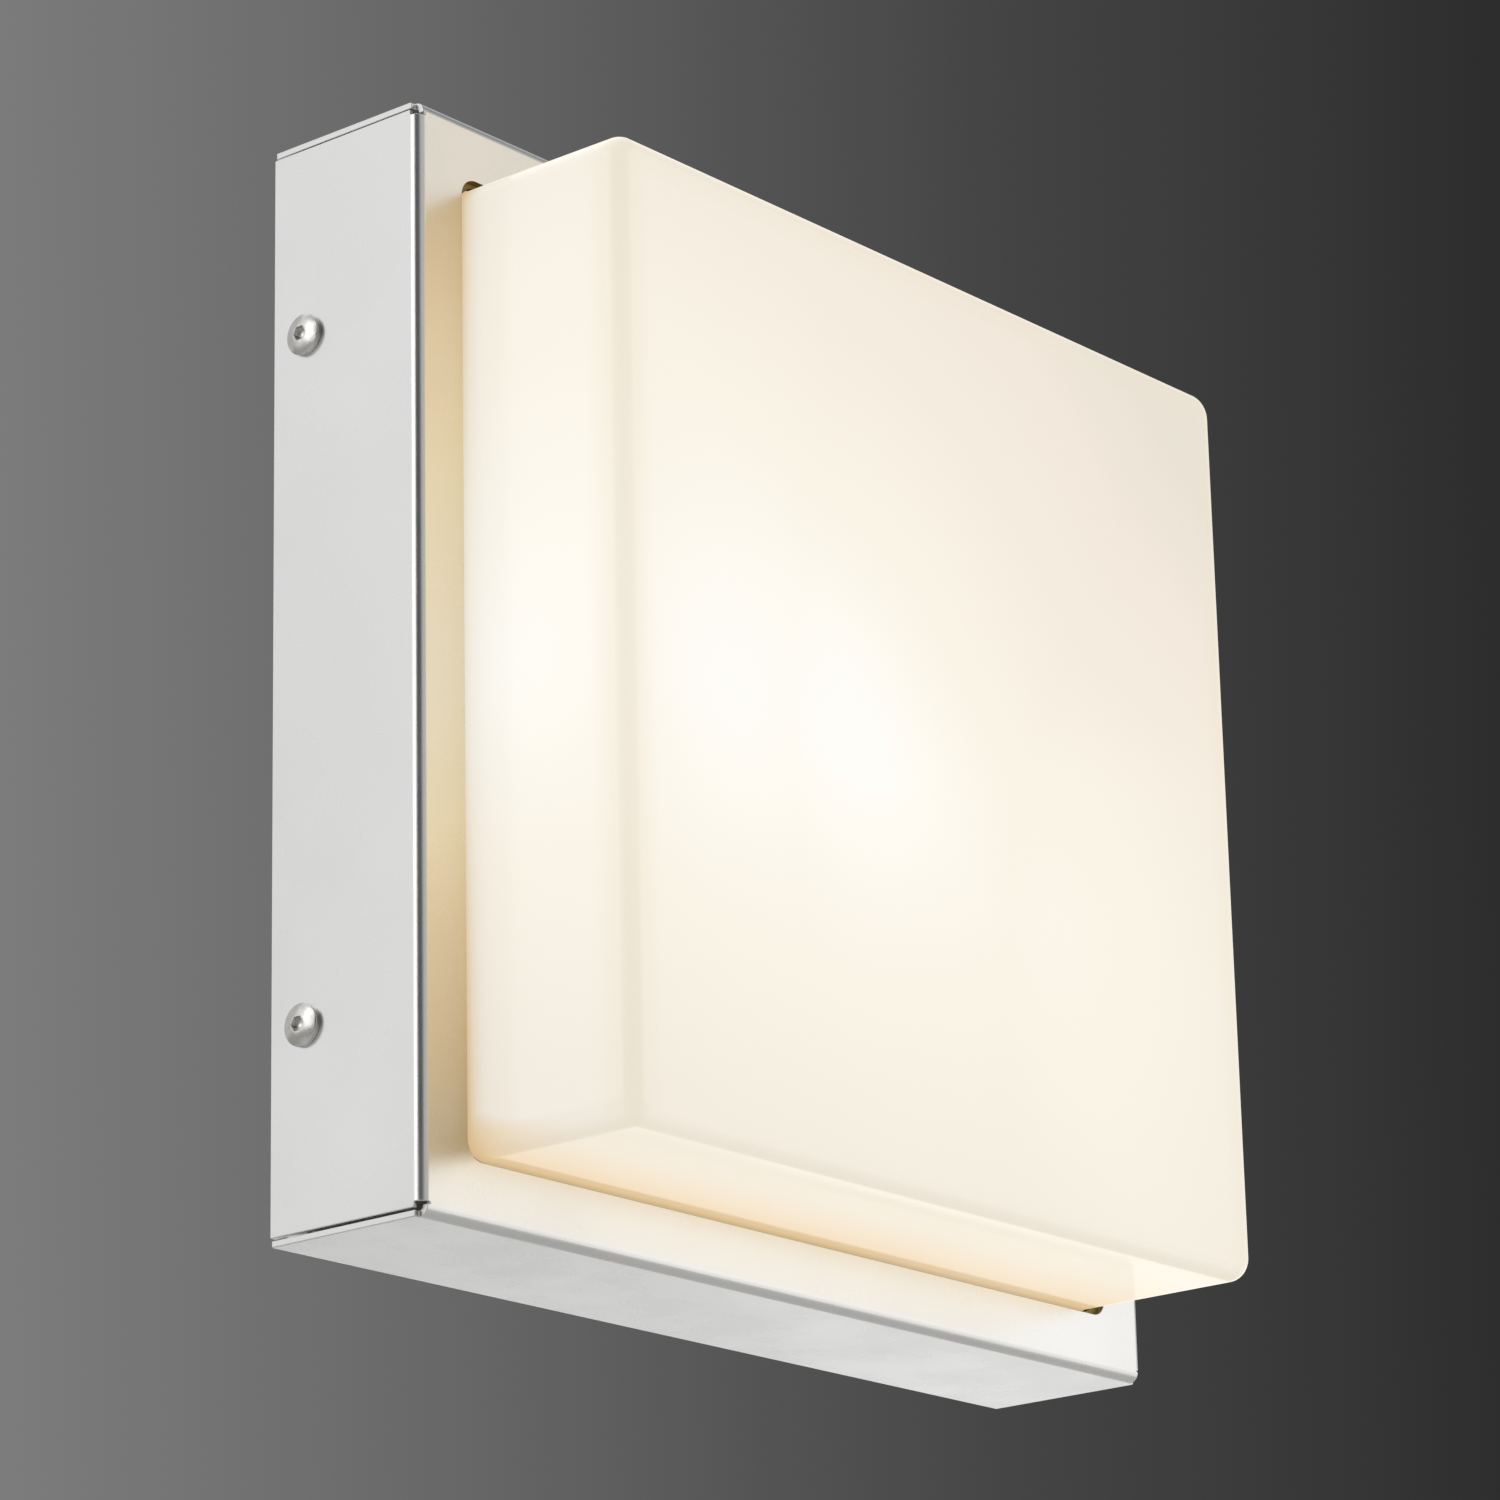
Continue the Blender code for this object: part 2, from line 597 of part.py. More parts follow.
def make_grommet(mats):
    """A rubber grommet in the cable hole, flush with the wall face, with a cone that seals on the cable."""
    seat = SHEET + CLEARANCE
    neck = CABLE_HOLE_RADIUS - CLEARANCE
    flange = in_millimetres([(13, 3.2), (12, 4.2), (8.2, 4.8)])
    cone = in_millimetres([(5.6, 8.6), (4.6, 8.6), (6.6, 3.8), (7.5, 0.4)])
    profile = [(neck, 0.4 * MM), (neck, seat), (flange[0][0], seat), *flange, *cone]
    return face_front(lathe("cable_grommet", profile, mats["black_rubber"], ring=True), *CABLE_HOLE)


def make_terminal_block(mats):
    """A three-pole terminal block: a wire hole through each pole and a screw well over each end of it."""
    half_x = BLOCK_SIZE[0] / 2
    half_z = BLOCK_SIZE[1] / 2
    seat = SHEET + CLEARANCE
    x, z = BLOCK_CENTRE
    low = (x - half_x, -BLOCK_TOP, z - half_z)
    high = (x + half_x, -seat, z + half_z)
    block = box("terminal_block", low, high, mats["terminal_plastic"])
    screw_hole = circle(BLOCK_SCREW_X, z, M3_HOLE_RADIUS, FINE_STEPS)
    cutters = [prism("block_screw_cutter", screw_hole, 1, -BLOCK_TOP - MM, 0)]
    number = 0
    for pole in (-1, 0, 1):
        pole_x = x + pole * POLE_SPACING
        bore = circle(pole_x, -POLE_DEPTH, POLE_BORE_RADIUS, FINE_STEPS)
        cutters.append(prism(f"pole_{pole}_cutter", bore, 2, z - half_z - MM, z + half_z + MM))
        for screw_z in (z - WELL_OFFSET, z + WELL_OFFSET):
            number += 1
            well = circle(pole_x, screw_z, WELL_RADIUS, FINE_STEPS)
            cutters.append(prism(f"well_{number}_cutter", well, 1, -BLOCK_TOP - MM, -POLE_DEPTH))
            make_terminal_screw(f"terminal_screw_{number}", pole_x, screw_z, mats)
    return cut(block, *cutters)


def make_terminal_screw(name, x, z, mats):
    """A headless screw with a driver slot, in its well."""
    radius = TERMINAL_SCREW_RADIUS
    low, high = TERMINAL_SCREW
    profile = [(0, high), (radius, high), (radius, low + 0.3 * MM), (radius - 0.3 * MM, low), (0, low)]
    screw = face_front(lathe(name, profile, mats["brass"], steps=FINE_STEPS), x, z)
    slot_low = (x - 2 * radius, -high - MM, z - 0.35 * MM)
    slot_high = (x + 2 * radius, -high + 0.9 * MM, z + 0.35 * MM)
    return cut(screw, box(f"{name}_cutter", slot_low, slot_high))


def make_block_screw(mats):
    """The screw that fixes the terminal block to the wall plate, in the web between two poles."""
    profile = pan_head_screw(BLOCK_TOP + CLEARANCE, 0.4 * MM)
    screw = lathe("block_screw", profile, mats["zinc"], steps=FINE_STEPS)
    return face_front(screw, BLOCK_SCREW_X, BLOCK_CENTRE[1])


def pan_head_screw(seat, end):
    """The profile of an M3 pan-head screw, its head above seat and its shank down to end."""
    head = in_millimetres([(0, 1.9), (1.9, 1.8), (2.8, 1.1), (2.8, 0), (1.5, 0)])
    return [(radius, seat + height) for radius, height in head] + [(1.5 * MM, end), (0, end)]


def make_earth_point(mats):
    """A welded M4 stud on the wall plate that holds the earth wire's ring lug under a washer and a nut."""
    x, z = EARTH_STUD
    root = SHEET + CLEARANCE
    lug_front = root + LUG_THICKNESS
    washer_rear = lug_front + CLEARANCE
    washer_front = washer_rear + WASHER_THICKNESS
    nut_rear = washer_front + CLEARANCE
    radius = EARTH_STUD_RADIUS
    stud = [(0, EARTH_STUD_END), (radius - 0.4 * MM, EARTH_STUD_END), (radius, EARTH_STUD_END - 0.4 * MM)]
    stud += [(radius, root), (0, root)]
    face_front(lathe("earth_stud", stud, mats["zinc"], steps=FINE_STEPS), x, z)
    place = add_empty("earth_point", location=(x, 0, z), rotation=(0, LAMP_ANGLE, 0))
    hole_outline = circle(0, 0, radius + CLEARANCE, FINE_STEPS)
    hole = prism("earth_stud_cutter", hole_outline, 1, -EARTH_STUD_END, 0, parent=place)
    washer_outline = circle(0, 0, WASHER_RADIUS)
    washer = prism("earth_washer", washer_outline, 1, -washer_front, -washer_rear, mats["zinc"], place)
    nut_front = nut_rear + EARTH_NUT_HEIGHT
    nut = prism("earth_nut", hexagon(EARTH_NUT_ACROSS), 1, -nut_front, -nut_rear, mats["zinc"], place)
    for piece in (make_lug(place, root, mats), washer, nut):
        cut(piece, hole)


def make_lug(place, root, mats):
    """A ring lug: a flat ring with a barrel on one side, bored for the wire."""
    ring = arc(0, 0, 4 * MM, 25, 335, FINE_STEPS) + [(8 * MM, -1.4 * MM), (8 * MM, 1.4 * MM)]
    lug = prism("earth_lug", ring, 1, -root - LUG_THICKNESS, -root, mats["zinc"], place)
    barrel_outline = circle(0, 0, LUG_BARREL_RADIUS, FINE_STEPS)
    bore_outline = circle(0, 0, WIRE_RADIUS + CLEARANCE, FINE_STEPS)
    barrel = prism("lug_barrel_cutter", barrel_outline, 2, 6 * MM, LUG_BARREL_END, parent=place)
    bore = prism("lug_bore_cutter", bore_outline, 2, 9 * MM, LUG_BARREL_END + MM, parent=place)
    for piece in (barrel, bore):
        piece.rotation_euler = (0, math.radians(90), 0)
        piece.location = (0, -root - LUG_BARREL_RADIUS, 0)
    add_boolean(lug, barrel, "UNION")
    return cut(lug, bore)


# ---------------------------------------------------------------- lampholder and lamp


def make_bracket(axis, mats):
    """An L bracket across the lamp's axis, its foot riveted to the wall plate, its upright at the holder."""
    middle = HOLDER_REAR + CLEARANCE + SHEET / 2
    foot_depth = LAMP_DEPTH - SHEET - CLEARANCE - SHEET / 2
    place = add_empty("bracket_place", rotation=(0, -math.radians(90), 0), parent=axis)
    corners = [(middle, -18 * MM), (middle, foot_depth), (BRACKET_FOOT_END, foot_depth)]
    shape = (2 * MM, BRACKET_HALF_WIDTH, SHEET)
    bracket = folded_strip("lampholder_bracket", corners, *shape, mats["zinc"], place, 4 * MM)
    upright = (2, middle - 2 * SHEET, middle + 2 * SHEET)
    foot = (1, foot_depth - 2 * SHEET, foot_depth + 2 * SHEET)
    cutters = [prism("bracket_wire_cutter", circle(0, 0, 10 * MM), *upright, parent=axis)]
    for sign, label in ((-1, "left"), (1, "right")):
        screw_hole = circle(sign * HOLDER_SCREW_OFFSET, 0, M3_HOLE_RADIUS, FINE_STEPS)
        rivet_hole = circle(sign * RIVET_OFFSET, RIVET_HEIGHT, M3_HOLE_RADIUS, FINE_STEPS)
        cutters.append(prism(f"bracket_{label}_cutter", screw_hole, *upright, parent=axis))
        cutters.append(prism(f"foot_{label}_cutter", rivet_hole, *foot, parent=axis))
    return cut(bracket, *cutters)


def make_bracket_rivet(label, sign, axis, mats):
    """A rivet through the bracket's foot and the wall plate, flush with the wall face."""
    seat = 2 * SHEET + 2 * CLEARANCE
    head = in_millimetres([(0, 1.4), (1.6, 1.2), (3, 0.3), (3, 0), (1.6, 0)])
    profile = [(radius, seat + height) for radius, height in head] + [(1.6 * MM, 0.4 * MM), (0, 0.4 * MM)]
    rivet = lathe(f"bracket_rivet_{label}", profile, mats["nickel"], axis, steps=FINE_STEPS)
    rivet.rotation_euler = (math.radians(90), 0, 0)
    rivet.location = (sign * RIVET_OFFSET, LAMP_DEPTH, RIVET_HEIGHT)
    return rivet


def make_lampholder(axis, mats):
    """A porcelain screw holder with its thread shell and centre contact, and the two screws behind it."""
    floor = HOLDER_REAR - HOLDER_FLOOR
    rear = in_millimetres([(0, 0), (16, 0), (17, -1), (17, -8), (19, -10)])
    rim = in_millimetres([(19, 12), (20.5, 10), (20.5, 1.5), (19, 0)])
    profile = [(radius, HOLDER_REAR + height) for radius, height in rear]
    profile += [(radius, HOLDER_RIM + height) for radius, height in rim]
    profile += [(HOLDER_BORE + MM, HOLDER_RIM), (HOLDER_BORE, HOLDER_RIM + MM)]
    profile += [(HOLDER_BORE, floor), (0, floor)]
    body = lathe("lampholder_body", profile, mats["porcelain"], axis)
    holes = (2, HOLDER_REAR - 9 * MM, HOLDER_REAR + MM)
    for sign, label in ((-1, "left"), (1, "right")):
        wire_hole = circle(sign * WIRE_HOLE[0], WIRE_HOLE[1], 2 * MM, FINE_STEPS)
        screw_hole = circle(sign * HOLDER_SCREW_OFFSET, 0, M3_HOLE_RADIUS, FINE_STEPS)
        cut(body, prism(f"holder_wire_{label}_cutter", wire_hole, *holes, parent=axis))
        cut(body, prism(f"holder_screw_{label}_cutter", screw_hole, *holes, parent=axis))
        make_holder_screw(label, sign, axis, mats)
    outer = HOLDER_BORE - 0.4 * MM
    inner = outer - SHELL_THICKNESS
    ends = (HOLDER_RIM + MM, floor - 3 * MM)
    shell = [(outer, ends[0]), (inner, ends[0]), (inner, ends[1]), (outer, ends[1])]
    lathe("lampholder_shell", shell, mats["brass"], axis, ring=True)
    make_contact_spring(axis, floor - 0.6 * MM, mats)


def make_contact_spring(axis, base, mats):
    """A bent strip on the holder's floor that presses on the lamp's centre contact."""
    tongue = LAMP_TIP + 0.7 * MM
    corners = [(-7 * MM, base), (-2.5 * MM, base), (-1 * MM, tongue), (6 * MM, tongue)]
    place = add_empty("contact_place", rotation=(math.radians(90), 0, 0), parent=axis)
    folded_strip("lampholder_contact", corners, 0.6 * MM, 3 * MM, 0.5 * MM, mats["brass"], place)


def make_holder_screw(label, sign, axis, mats):
    """An M3 pan-head screw through the bracket into the back of the lampholder."""
    seat = HOLDER_REAR + SHEET + 2 * CLEARANCE
    profile = pan_head_screw(seat, seat - 8 * MM)
    screw = lathe(f"holder_screw_{label}", profile, mats["zinc"], axis, steps=FINE_STEPS)
    screw.location = (sign * HOLDER_SCREW_OFFSET, 0, 0)
    return screw


def make_lamp(axis, mats):
    """A screw-in lamp: centre contact, insulator, threaded cap, driver collar, LED board and opal globe.

    The profiles are in millimetres, their heights counted from the lamp's tip.
    """
    contact = [(0, 0), (3, -0.3), (4.5, -1), (4.5, -1.7), (0, -1.7)]
    insulator = [(0, -2), (5, -2), (11.4, -5.6), (11.4, -6.6), (0, -6.6)]
    cap = [(0, -6.9), (12, -6.9), (12.4, -7.6)]
    for turn in range(4):
        crest = -9.4 - THREAD_PITCH / MM * turn
        cap += [(13.0, crest), (12.2, crest - 1.8)]
    cap += [(13.0, -24.2), (13.0, -25), (0, -25)]
    collar = [(0, -25.3), (13, -25.3), (13, -29.6), (14.6, -32.5), (17.6, -40), (20.6, -50), (23.2, -60)]
    collar += [(23.4, -61), (0, -61)]
    board = [(0, -61.3), (20, -61.3), (20, -62.9), (0, -62.9)]
    pieces = {
        "lamp_contact": (contact, "brass"),
        "lamp_insulator": (insulator, "black_glass"),
        "lamp_cap": (cap, "nickel"),
        "lamp_collar": (collar, "white_plastic"),
        "lamp_led_board": (board, "circuit_board"),
    }
    for name, (profile, mat) in pieces.items():
        points = [(radius, LAMP_TIP + height) for radius, height in in_millimetres(profile)]
        lathe(name, points, mats[mat], axis)
    lathe("lamp_globe", globe_profile(), mats["opal_plastic"], axis)


def globe_profile():
    """The globe's wall, from the outer pole to the rim over the collar and back to the inner pole."""
    rise = GLOBE_RIM - GLOBE_CENTRE
    profiles = []
    for radius in (GLOBE_RADIUS, GLOBE_RADIUS - GLOBE_WALL):
        rim_angle = math.degrees(math.asin(rise / radius))
        curve = arc(0, GLOBE_CENTRE, radius, -90, rim_angle, GLOBE_STEPS)
        profiles.append([(0, GLOBE_CENTRE - radius), *curve[1:]])
    return profiles[0] + profiles[1][::-1]


# ---------------------------------------------------------------- wiring


def make_wire(name, route, mat):
    """A sleeved wire along a smooth curve through its route's points."""
    points = smooth_route(route)
    curve = bpy.data.curves.new(name, "CURVE")
    curve.dimensions = "3D"
    curve.resolution_u = 1
    curve.bevel_depth = WIRE_RADIUS
    curve.bevel_resolution = 2
    curve.use_fill_caps = True
    curve.materials.append(mat)
    spline = curve.splines.new("POLY")
    spline.points.add(len(points) - 1)
    for spline_point, point in zip(spline.points, points):
        spline_point.co = (*point, 1)
    wire = bpy.data.objects.new(name, curve)
    bpy.context.collection.objects.link(wire)
    return wire


def axis_point(across, depth_offset, height):
    """A point given along the lamp's own axes, in the lantern's frame."""
    turn = Matrix.Rotation(LAMP_ANGLE, 3, "Y")
    return turn @ Vector((across, depth_offset, height)) + Vector((0, -LAMP_DEPTH, 0))


def make_wiring(mats):
    """Two wires from the terminal block round the bracket into the lampholder, and one to the earth stud."""
    x, z = BLOCK_CENTRE
    mouth = z + BLOCK_SIZE[1] / 2
    live_x = x - POLE_SPACING
    live_route = [
        (live_x, -POLE_DEPTH, mouth - 6 * MM),
        (live_x, -POLE_DEPTH, mouth + 2 * MM),
        (66 * MM, -5 * MM, -24 * MM),
        (82 * MM, -6 * MM, 4 * MM),
        (93 * MM, -16 * MM, 34 * MM),
        (95 * MM, -28 * MM, 60 * MM),
        (88 * MM, -36 * MM, 80 * MM),
        *into_holder(-WIRE_HOLE[0]),
    ]
    neutral_x = x + POLE_SPACING
    neutral_route = [
        (neutral_x, -POLE_DEPTH, mouth - 6 * MM),
        (neutral_x, -POLE_DEPTH, mouth + 2 * MM),
        (84 * MM, -5 * MM, -22 * MM),
        (95 * MM, -6 * MM, 6 * MM),
        (99 * MM, -14 * MM, 32 * MM),
        (99 * MM, -26 * MM, 54 * MM),
        (92 * MM, -35 * MM, 68 * MM),
        *into_holder(WIRE_HOLE[0]),
    ]
    along = Vector((math.cos(LAMP_ANGLE), 0, -math.sin(LAMP_ANGLE)))
    stud = Vector((EARTH_STUD[0], -SHEET - CLEARANCE - LUG_BARREL_RADIUS, EARTH_STUD[1]))
    earth_route = [
        stud + along * (LUG_BARREL_END - 4 * MM),
        stud + along * (LUG_BARREL_END + 3 * MM),
        (68 * MM, -6 * MM, mouth + 5 * MM),
        (x, -POLE_DEPTH, mouth + 1 * MM),
        (x, -POLE_DEPTH, mouth - 6 * MM),
    ]
    make_wire("live_wire", live_route, mats["brown_sleeve"])
    make_wire("neutral_wire", neutral_route, mats["blue_sleeve"])
    make_wire("earth_wire", earth_route, mats["green_yellow_sleeve"])


def into_holder(across):
    """The last points of a wire's route, straight through one of the holes in the lampholder's rear."""
    heights = (HOLDER_REAR + 9 * MM, HOLDER_REAR + 2 * MM, HOLDER_REAR - 7 * MM)
    return [axis_point(across, WIRE_HOLE[1], height) for height in heights]


# ---------------------------------------------------------------- assembly


def main():
    remove_everything()
    mats = make_materials()
    make_housing(mats)
    make_glass(mats)
    make_gasket(mats)
    for label, angle in (("right", 0), ("top", -90), ("left", 180), ("bottom", 90)):
        make_glass_clip(label, math.radians(angle), mats)
    for side, side_label in ((-1, "left"), (1, "right")):
        for sign, label in ((1, "upper"), (-1, "lower")):
            make_cover_screw(f"{side_label}_{label}", side, sign * SCREW_HEIGHT, mats)
    make_back_plate(mats)
    make_grommet(mats)
    make_terminal_block(mats)
    make_block_screw(mats)
    make_earth_point(mats)
    lamp_axis = add_empty("lamp_axis", location=(0, -LAMP_DEPTH, 0), rotation=(0, LAMP_ANGLE, 0))
    make_bracket(lamp_axis, mats)
    for sign, label in ((-1, "left"), (1, "right")):
        make_bracket_rivet(label, sign, lamp_axis, mats)
    make_lampholder(lamp_axis, mats)
    make_lamp(lamp_axis, mats)
    make_wiring(mats)


main()
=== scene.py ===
"""Outdoor wall lantern: finer pieces, materials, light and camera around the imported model.

Everything is in metres in the CAD's frame: X to the right, +Z up, the lantern stands out along -Y.
"Depth" is the distance from the wall, minus Y. Pieces are made in place, so an object's own
coordinates are the lantern's.
"""

import json
import math

import bmesh
import bpy
from mathutils import Matrix, Vector


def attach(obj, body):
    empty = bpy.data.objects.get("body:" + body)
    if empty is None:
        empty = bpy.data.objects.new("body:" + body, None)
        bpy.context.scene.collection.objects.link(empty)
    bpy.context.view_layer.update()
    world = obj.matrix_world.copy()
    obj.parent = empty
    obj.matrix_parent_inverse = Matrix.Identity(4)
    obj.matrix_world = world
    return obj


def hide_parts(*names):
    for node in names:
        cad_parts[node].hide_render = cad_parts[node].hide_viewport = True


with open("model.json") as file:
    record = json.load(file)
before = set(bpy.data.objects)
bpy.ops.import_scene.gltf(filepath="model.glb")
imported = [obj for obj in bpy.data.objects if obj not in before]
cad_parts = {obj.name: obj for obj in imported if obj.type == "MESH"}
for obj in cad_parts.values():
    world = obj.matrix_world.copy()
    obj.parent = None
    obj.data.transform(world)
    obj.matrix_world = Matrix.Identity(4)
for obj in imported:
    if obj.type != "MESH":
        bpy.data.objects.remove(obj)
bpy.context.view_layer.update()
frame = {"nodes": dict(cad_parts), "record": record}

MM = 0.001

# Sizes taken over from the CAD
HOUSING_HALF = 125 * MM
GLASS_HALF = 110 * MM
GLASS_DEPTH = 89 * MM
GLASS_WALL = 3.5 * MM
GLASS_CORNER = 6 * MM
GLASS_EDGE = 4.3 * MM
FLANGE_WIDTH = 4.5 * MM
FLANGE_FRONT = 40.6 * MM
FLANGE_REAR = 36.6 * MM
SCREW_DEPTH = 10.5 * MM
SCREW_HEIGHT = 78.5 * MM
SCREW_SEAT = 0.3 * MM
SCREW_HEAD_RADIUS = 4.75 * MM
SCREW_HEAD_HEIGHT = 1.9 * MM
SCREW_FACE_RADIUS = 1.9 * MM
SCREW_RADIUS = 2.5 * MM
SCREW_LENGTH = 12 * MM
SOCKET_ACROSS = 3 * MM
SOCKET_DEPTH = 1.5 * MM
LAMP_DEPTH = 46 * MM
LAMP_ANGLE = math.radians(45)
LAMP_TIP = 75 * MM
GLOBE_RADIUS = 30 * MM
GLOBE_CENTRE = -5 * MM
GLOBE_WALL = 1.5 * MM
GLOBE_RIM = 13.7 * MM
CAP_ENDS = (LAMP_TIP - 25 * MM, LAMP_TIP - 6.9 * MM)
THREAD_PITCH = 3.62 * MM
THREAD_ROOT = 12.1 * MM
THREAD_CREST = 13.0 * MM

# The collar's outline in millimetres: radius, and height over the lamp's tip
COLLAR_OUTLINE = (
    (0, -25.3), (12.6, -25.3), (13, -29.2), (13.5, -30.6), (14.6, -32.7), (16.0, -36.2), (17.6, -40.2),
    (19.2, -45.1), (20.6, -50), (22.0, -55.3), (23.2, -60), (23.4, -61), (23.0, -61), (0, -61),
)

# Finer shapes than the CAD's
FLANGE_LIP = 1 * MM
SMALLEST_CORNER = 1 * MM
SCREW_DOME = 9.5 * MM
SCREW_FILLET = 0.35 * MM
SCREW_END_CHAMFER = 0.4 * MM
HEAD_CHAMFER = 0.1 * MM
SOCKET_CHAMFER = 0.15 * MM
SOCKET_MOUTH = SOCKET_ACROSS + 0.2 * MM
SOCKET_DRILL_RADIUS = 0.9 * MM
SOCKET_DRILL_POINT = 0.35 * MM
POINT_RADIUS = 0.01 * MM

# The cap's thread comes in from the collar and fades at the far end, where the cap also narrows
THREAD_FADES = (2.4 * MM, 1.8 * MM)
THREAD_END_DROP = 1.0 * MM
CAP_CHAMFER = 0.2 * MM

# How much closer to the cover the screws' heads end here than in the CAD, which keeps a clearance
HEAD_DROP = 0.24 * MM

# Fineness of the rebuilt pieces
CORNER_STEPS = 20
EDGE_STEPS = 12
INNER_EDGE_STEPS = 8
LIP_STEPS = 5
ROUND_STEPS = 96
DOME_STEPS = 14
FILLET_STEPS = 8
GLOBE_STEPS = 40
THREAD_ROWS = 90
BEVEL_SEGMENTS = 2
FACE_WEIGHT = 90
SMOOTH_ANGLE = math.radians(32)
WELD_DISTANCE = 0.002 * MM
FLAT_ANGLE = math.radians(0.4)

LAMP_PLACE = Matrix.Translation((0, -LAMP_DEPTH, 0)) @ Matrix.Rotation(LAMP_ANGLE, 4, "Y")

# Camera: the photograph's angle
CAMERA_PLACE = Vector((-0.9545, -0.8212, -0.3908))
CAMERA_YAW = math.radians(50.385)
CAMERA_PITCH = math.radians(17.805)
CAMERA_ROLL = math.radians(-1.282)
CAMERA_LENS = 135.72
SENSOR_WIDTH = 36
CAMERA_CLIP = (0.05, 100)
CAMERA_RIGHT = Vector((math.cos(CAMERA_YAW), -math.sin(CAMERA_YAW), 0))
CAMERA_FORWARD = Vector((
    math.sin(CAMERA_YAW) * math.cos(CAMERA_PITCH),
    math.cos(CAMERA_YAW) * math.cos(CAMERA_PITCH),
    math.sin(CAMERA_PITCH),
))


# ---------------------------------------------------------------- node helpers

NOISE_ROUGHNESS = 0.55
NOISE_SPREAD = (0.3, 0.7)


def new_material(name):
    mat = bpy.data.materials.new(name)
    mat.use_nodes = True
    tree = mat.node_tree
    return mat, tree, tree.nodes["Principled BSDF"]


def put(socket, value, tree):
    """Sets a socket from a number, a colour, or another node's socket."""
    if isinstance(value, bpy.types.NodeSocket):
        tree.links.new(value, socket)
    else:
        socket.default_value = value


def math_node(tree, operation, first, second=0.0, third=0.0):
    node = tree.nodes.new("ShaderNodeMath")
    node.operation = operation
    for socket, value in zip(node.inputs, (first, second, third)):
        put(socket, value, tree)
    return node.outputs[0]


def vector_node(tree, operation, first, second):
    node = tree.nodes.new("ShaderNodeVectorMath")
    node.operation = operation
    put(node.inputs[0], first, tree)
    put(node.inputs[1], second, tree)
    return node.outputs["Value" if operation in ("DISTANCE", "DOT_PRODUCT") else "Vector"]


def mix_colour(tree, factor, first, second):
    """The first colour where the factor is 0, the second where it is 1."""
    node = tree.nodes.new("ShaderNodeMix")
    node.data_type = "RGBA"
    put(node.inputs["Factor"], factor, tree)
    for index, colour in ((6, first), (7, second)):
        put(node.inputs[index], (*colour, 1) if isinstance(colour, tuple) else colour, tree)
    return node.outputs[2]


def map_range(tree, value, from_low, from_high, to_low, to_high, smooth=False):
    node = tree.nodes.new("ShaderNodeMapRange")
    node.interpolation_type = "SMOOTHSTEP" if smooth else "LINEAR"
    for socket, item in zip(node.inputs, (value, from_low, from_high, to_low, to_high)):
        put(socket, item, tree)
    return node.outputs[0]


def ramp(tree, value, stops):
    """A colour ramp through (position, colour) stops."""
    node = tree.nodes.new("ShaderNodeValToRGB")
    elements = node.color_ramp.elements
    while len(elements) < len(stops):
        elements.new(0.5)
    for element, (position, colour) in zip(elements, stops):
        element.position = position
        element.color = (*colour, 1)
    put(node.inputs[0], value, tree)
    return node.outputs[0]


def own_point(tree):
    return tree.nodes.new("ShaderNodeTexCoord").outputs["Object"]


def own_parts(tree):
    """The own point's three coordinates."""
    parts = tree.nodes.new("ShaderNodeSeparateXYZ")
    put(parts.inputs[0], own_point(tree), tree)
    return parts.outputs


def noise(tree, size, detail=3.0):
    """Noise of about the given feature size in metres, in the piece's own coordinates."""
    node = tree.nodes.new("ShaderNodeTexNoise")
    node.inputs["Scale"].default_value = 1 / size
    node.inputs["Detail"].default_value = detail
    node.inputs["Roughness"].default_value = NOISE_ROUGHNESS
    put(node.inputs["Vector"], own_point(tree), tree)
    return node.outputs["Fac"]


def patches(tree, size, low=0.0, high=1.0, detail=3.0):
    """Noise spread out between two values."""
    return map_range(tree, noise(tree, size, detail), *NOISE_SPREAD, low, high)


def bump(tree, height, distance):
    node = tree.nodes.new("ShaderNodeBump")
    node.inputs["Distance"].default_value = distance
    put(node.inputs["Height"], height, tree)
    return node.outputs[0]


def wave_bump(tree, size, relief, detail=3.0):
    """A bump from noise of the given feature size and relief."""
    return bump(tree, noise(tree, size, detail), relief)


# ---------------------------------------------------------------- materials

METAL_RELIEF = 0.003 * MM
EDGE_SAMPLES = 4
EDGE_LEAN = (0.995, 0.85)
STEEL_EDGE = 0.25 * MM
# Share of the painted highlight, a lighter base colour, along the cut edges
STEEL_EDGE_HIGHLIGHT_SHARE = 0.6
STEEL_EDGE_GLOSS = -0.08

# The noise's range and the roughness it gives; the waves' size and relief
STEEL_SMUDGES = (0.35, 0.7, 0.25, 0.30)
STEEL_WAVES = (40 * MM, 0.004 * MM)
RING_PITCH = 0.16 * MM
RING_RELIEF = 0.0006 * MM


def plain_finish(name, colours, roughness, metallic=0.0, blotch=30 * MM, grain=0.8 * MM, relief=0.01 * MM):
    """A finish with slow changes of tone, uneven gloss and a fine surface relief."""
    mat, tree, shader = new_material(name)
    put(shader.inputs["Base Color"], mix_colour(tree, patches(tree, blotch), *colours), tree)
    put(shader.inputs["Roughness"], patches(tree, blotch / 3, *roughness, detail=5.0), tree)
    put(shader.inputs["Normal"], wave_bump(tree, grain, relief), tree)
    shader.inputs["Metallic"].default_value = metallic
    return mat


def edge_mask(tree, radius):
    """1 at sharp edges and 0 on flat ground, from how far a rounded normal leans over."""
    rounded = tree.nodes.new("ShaderNodeBevel")
    rounded.samples = EDGE_SAMPLES
    rounded.inputs["Radius"].default_value = radius
    geometry = tree.nodes.new("ShaderNodeNewGeometry")
    lean = vector_node(tree, "DOT_PRODUCT", rounded.outputs[0], geometry.outputs["Normal"])
    return map_range(tree, lean, *EDGE_LEAN, 0.0, 1.0)


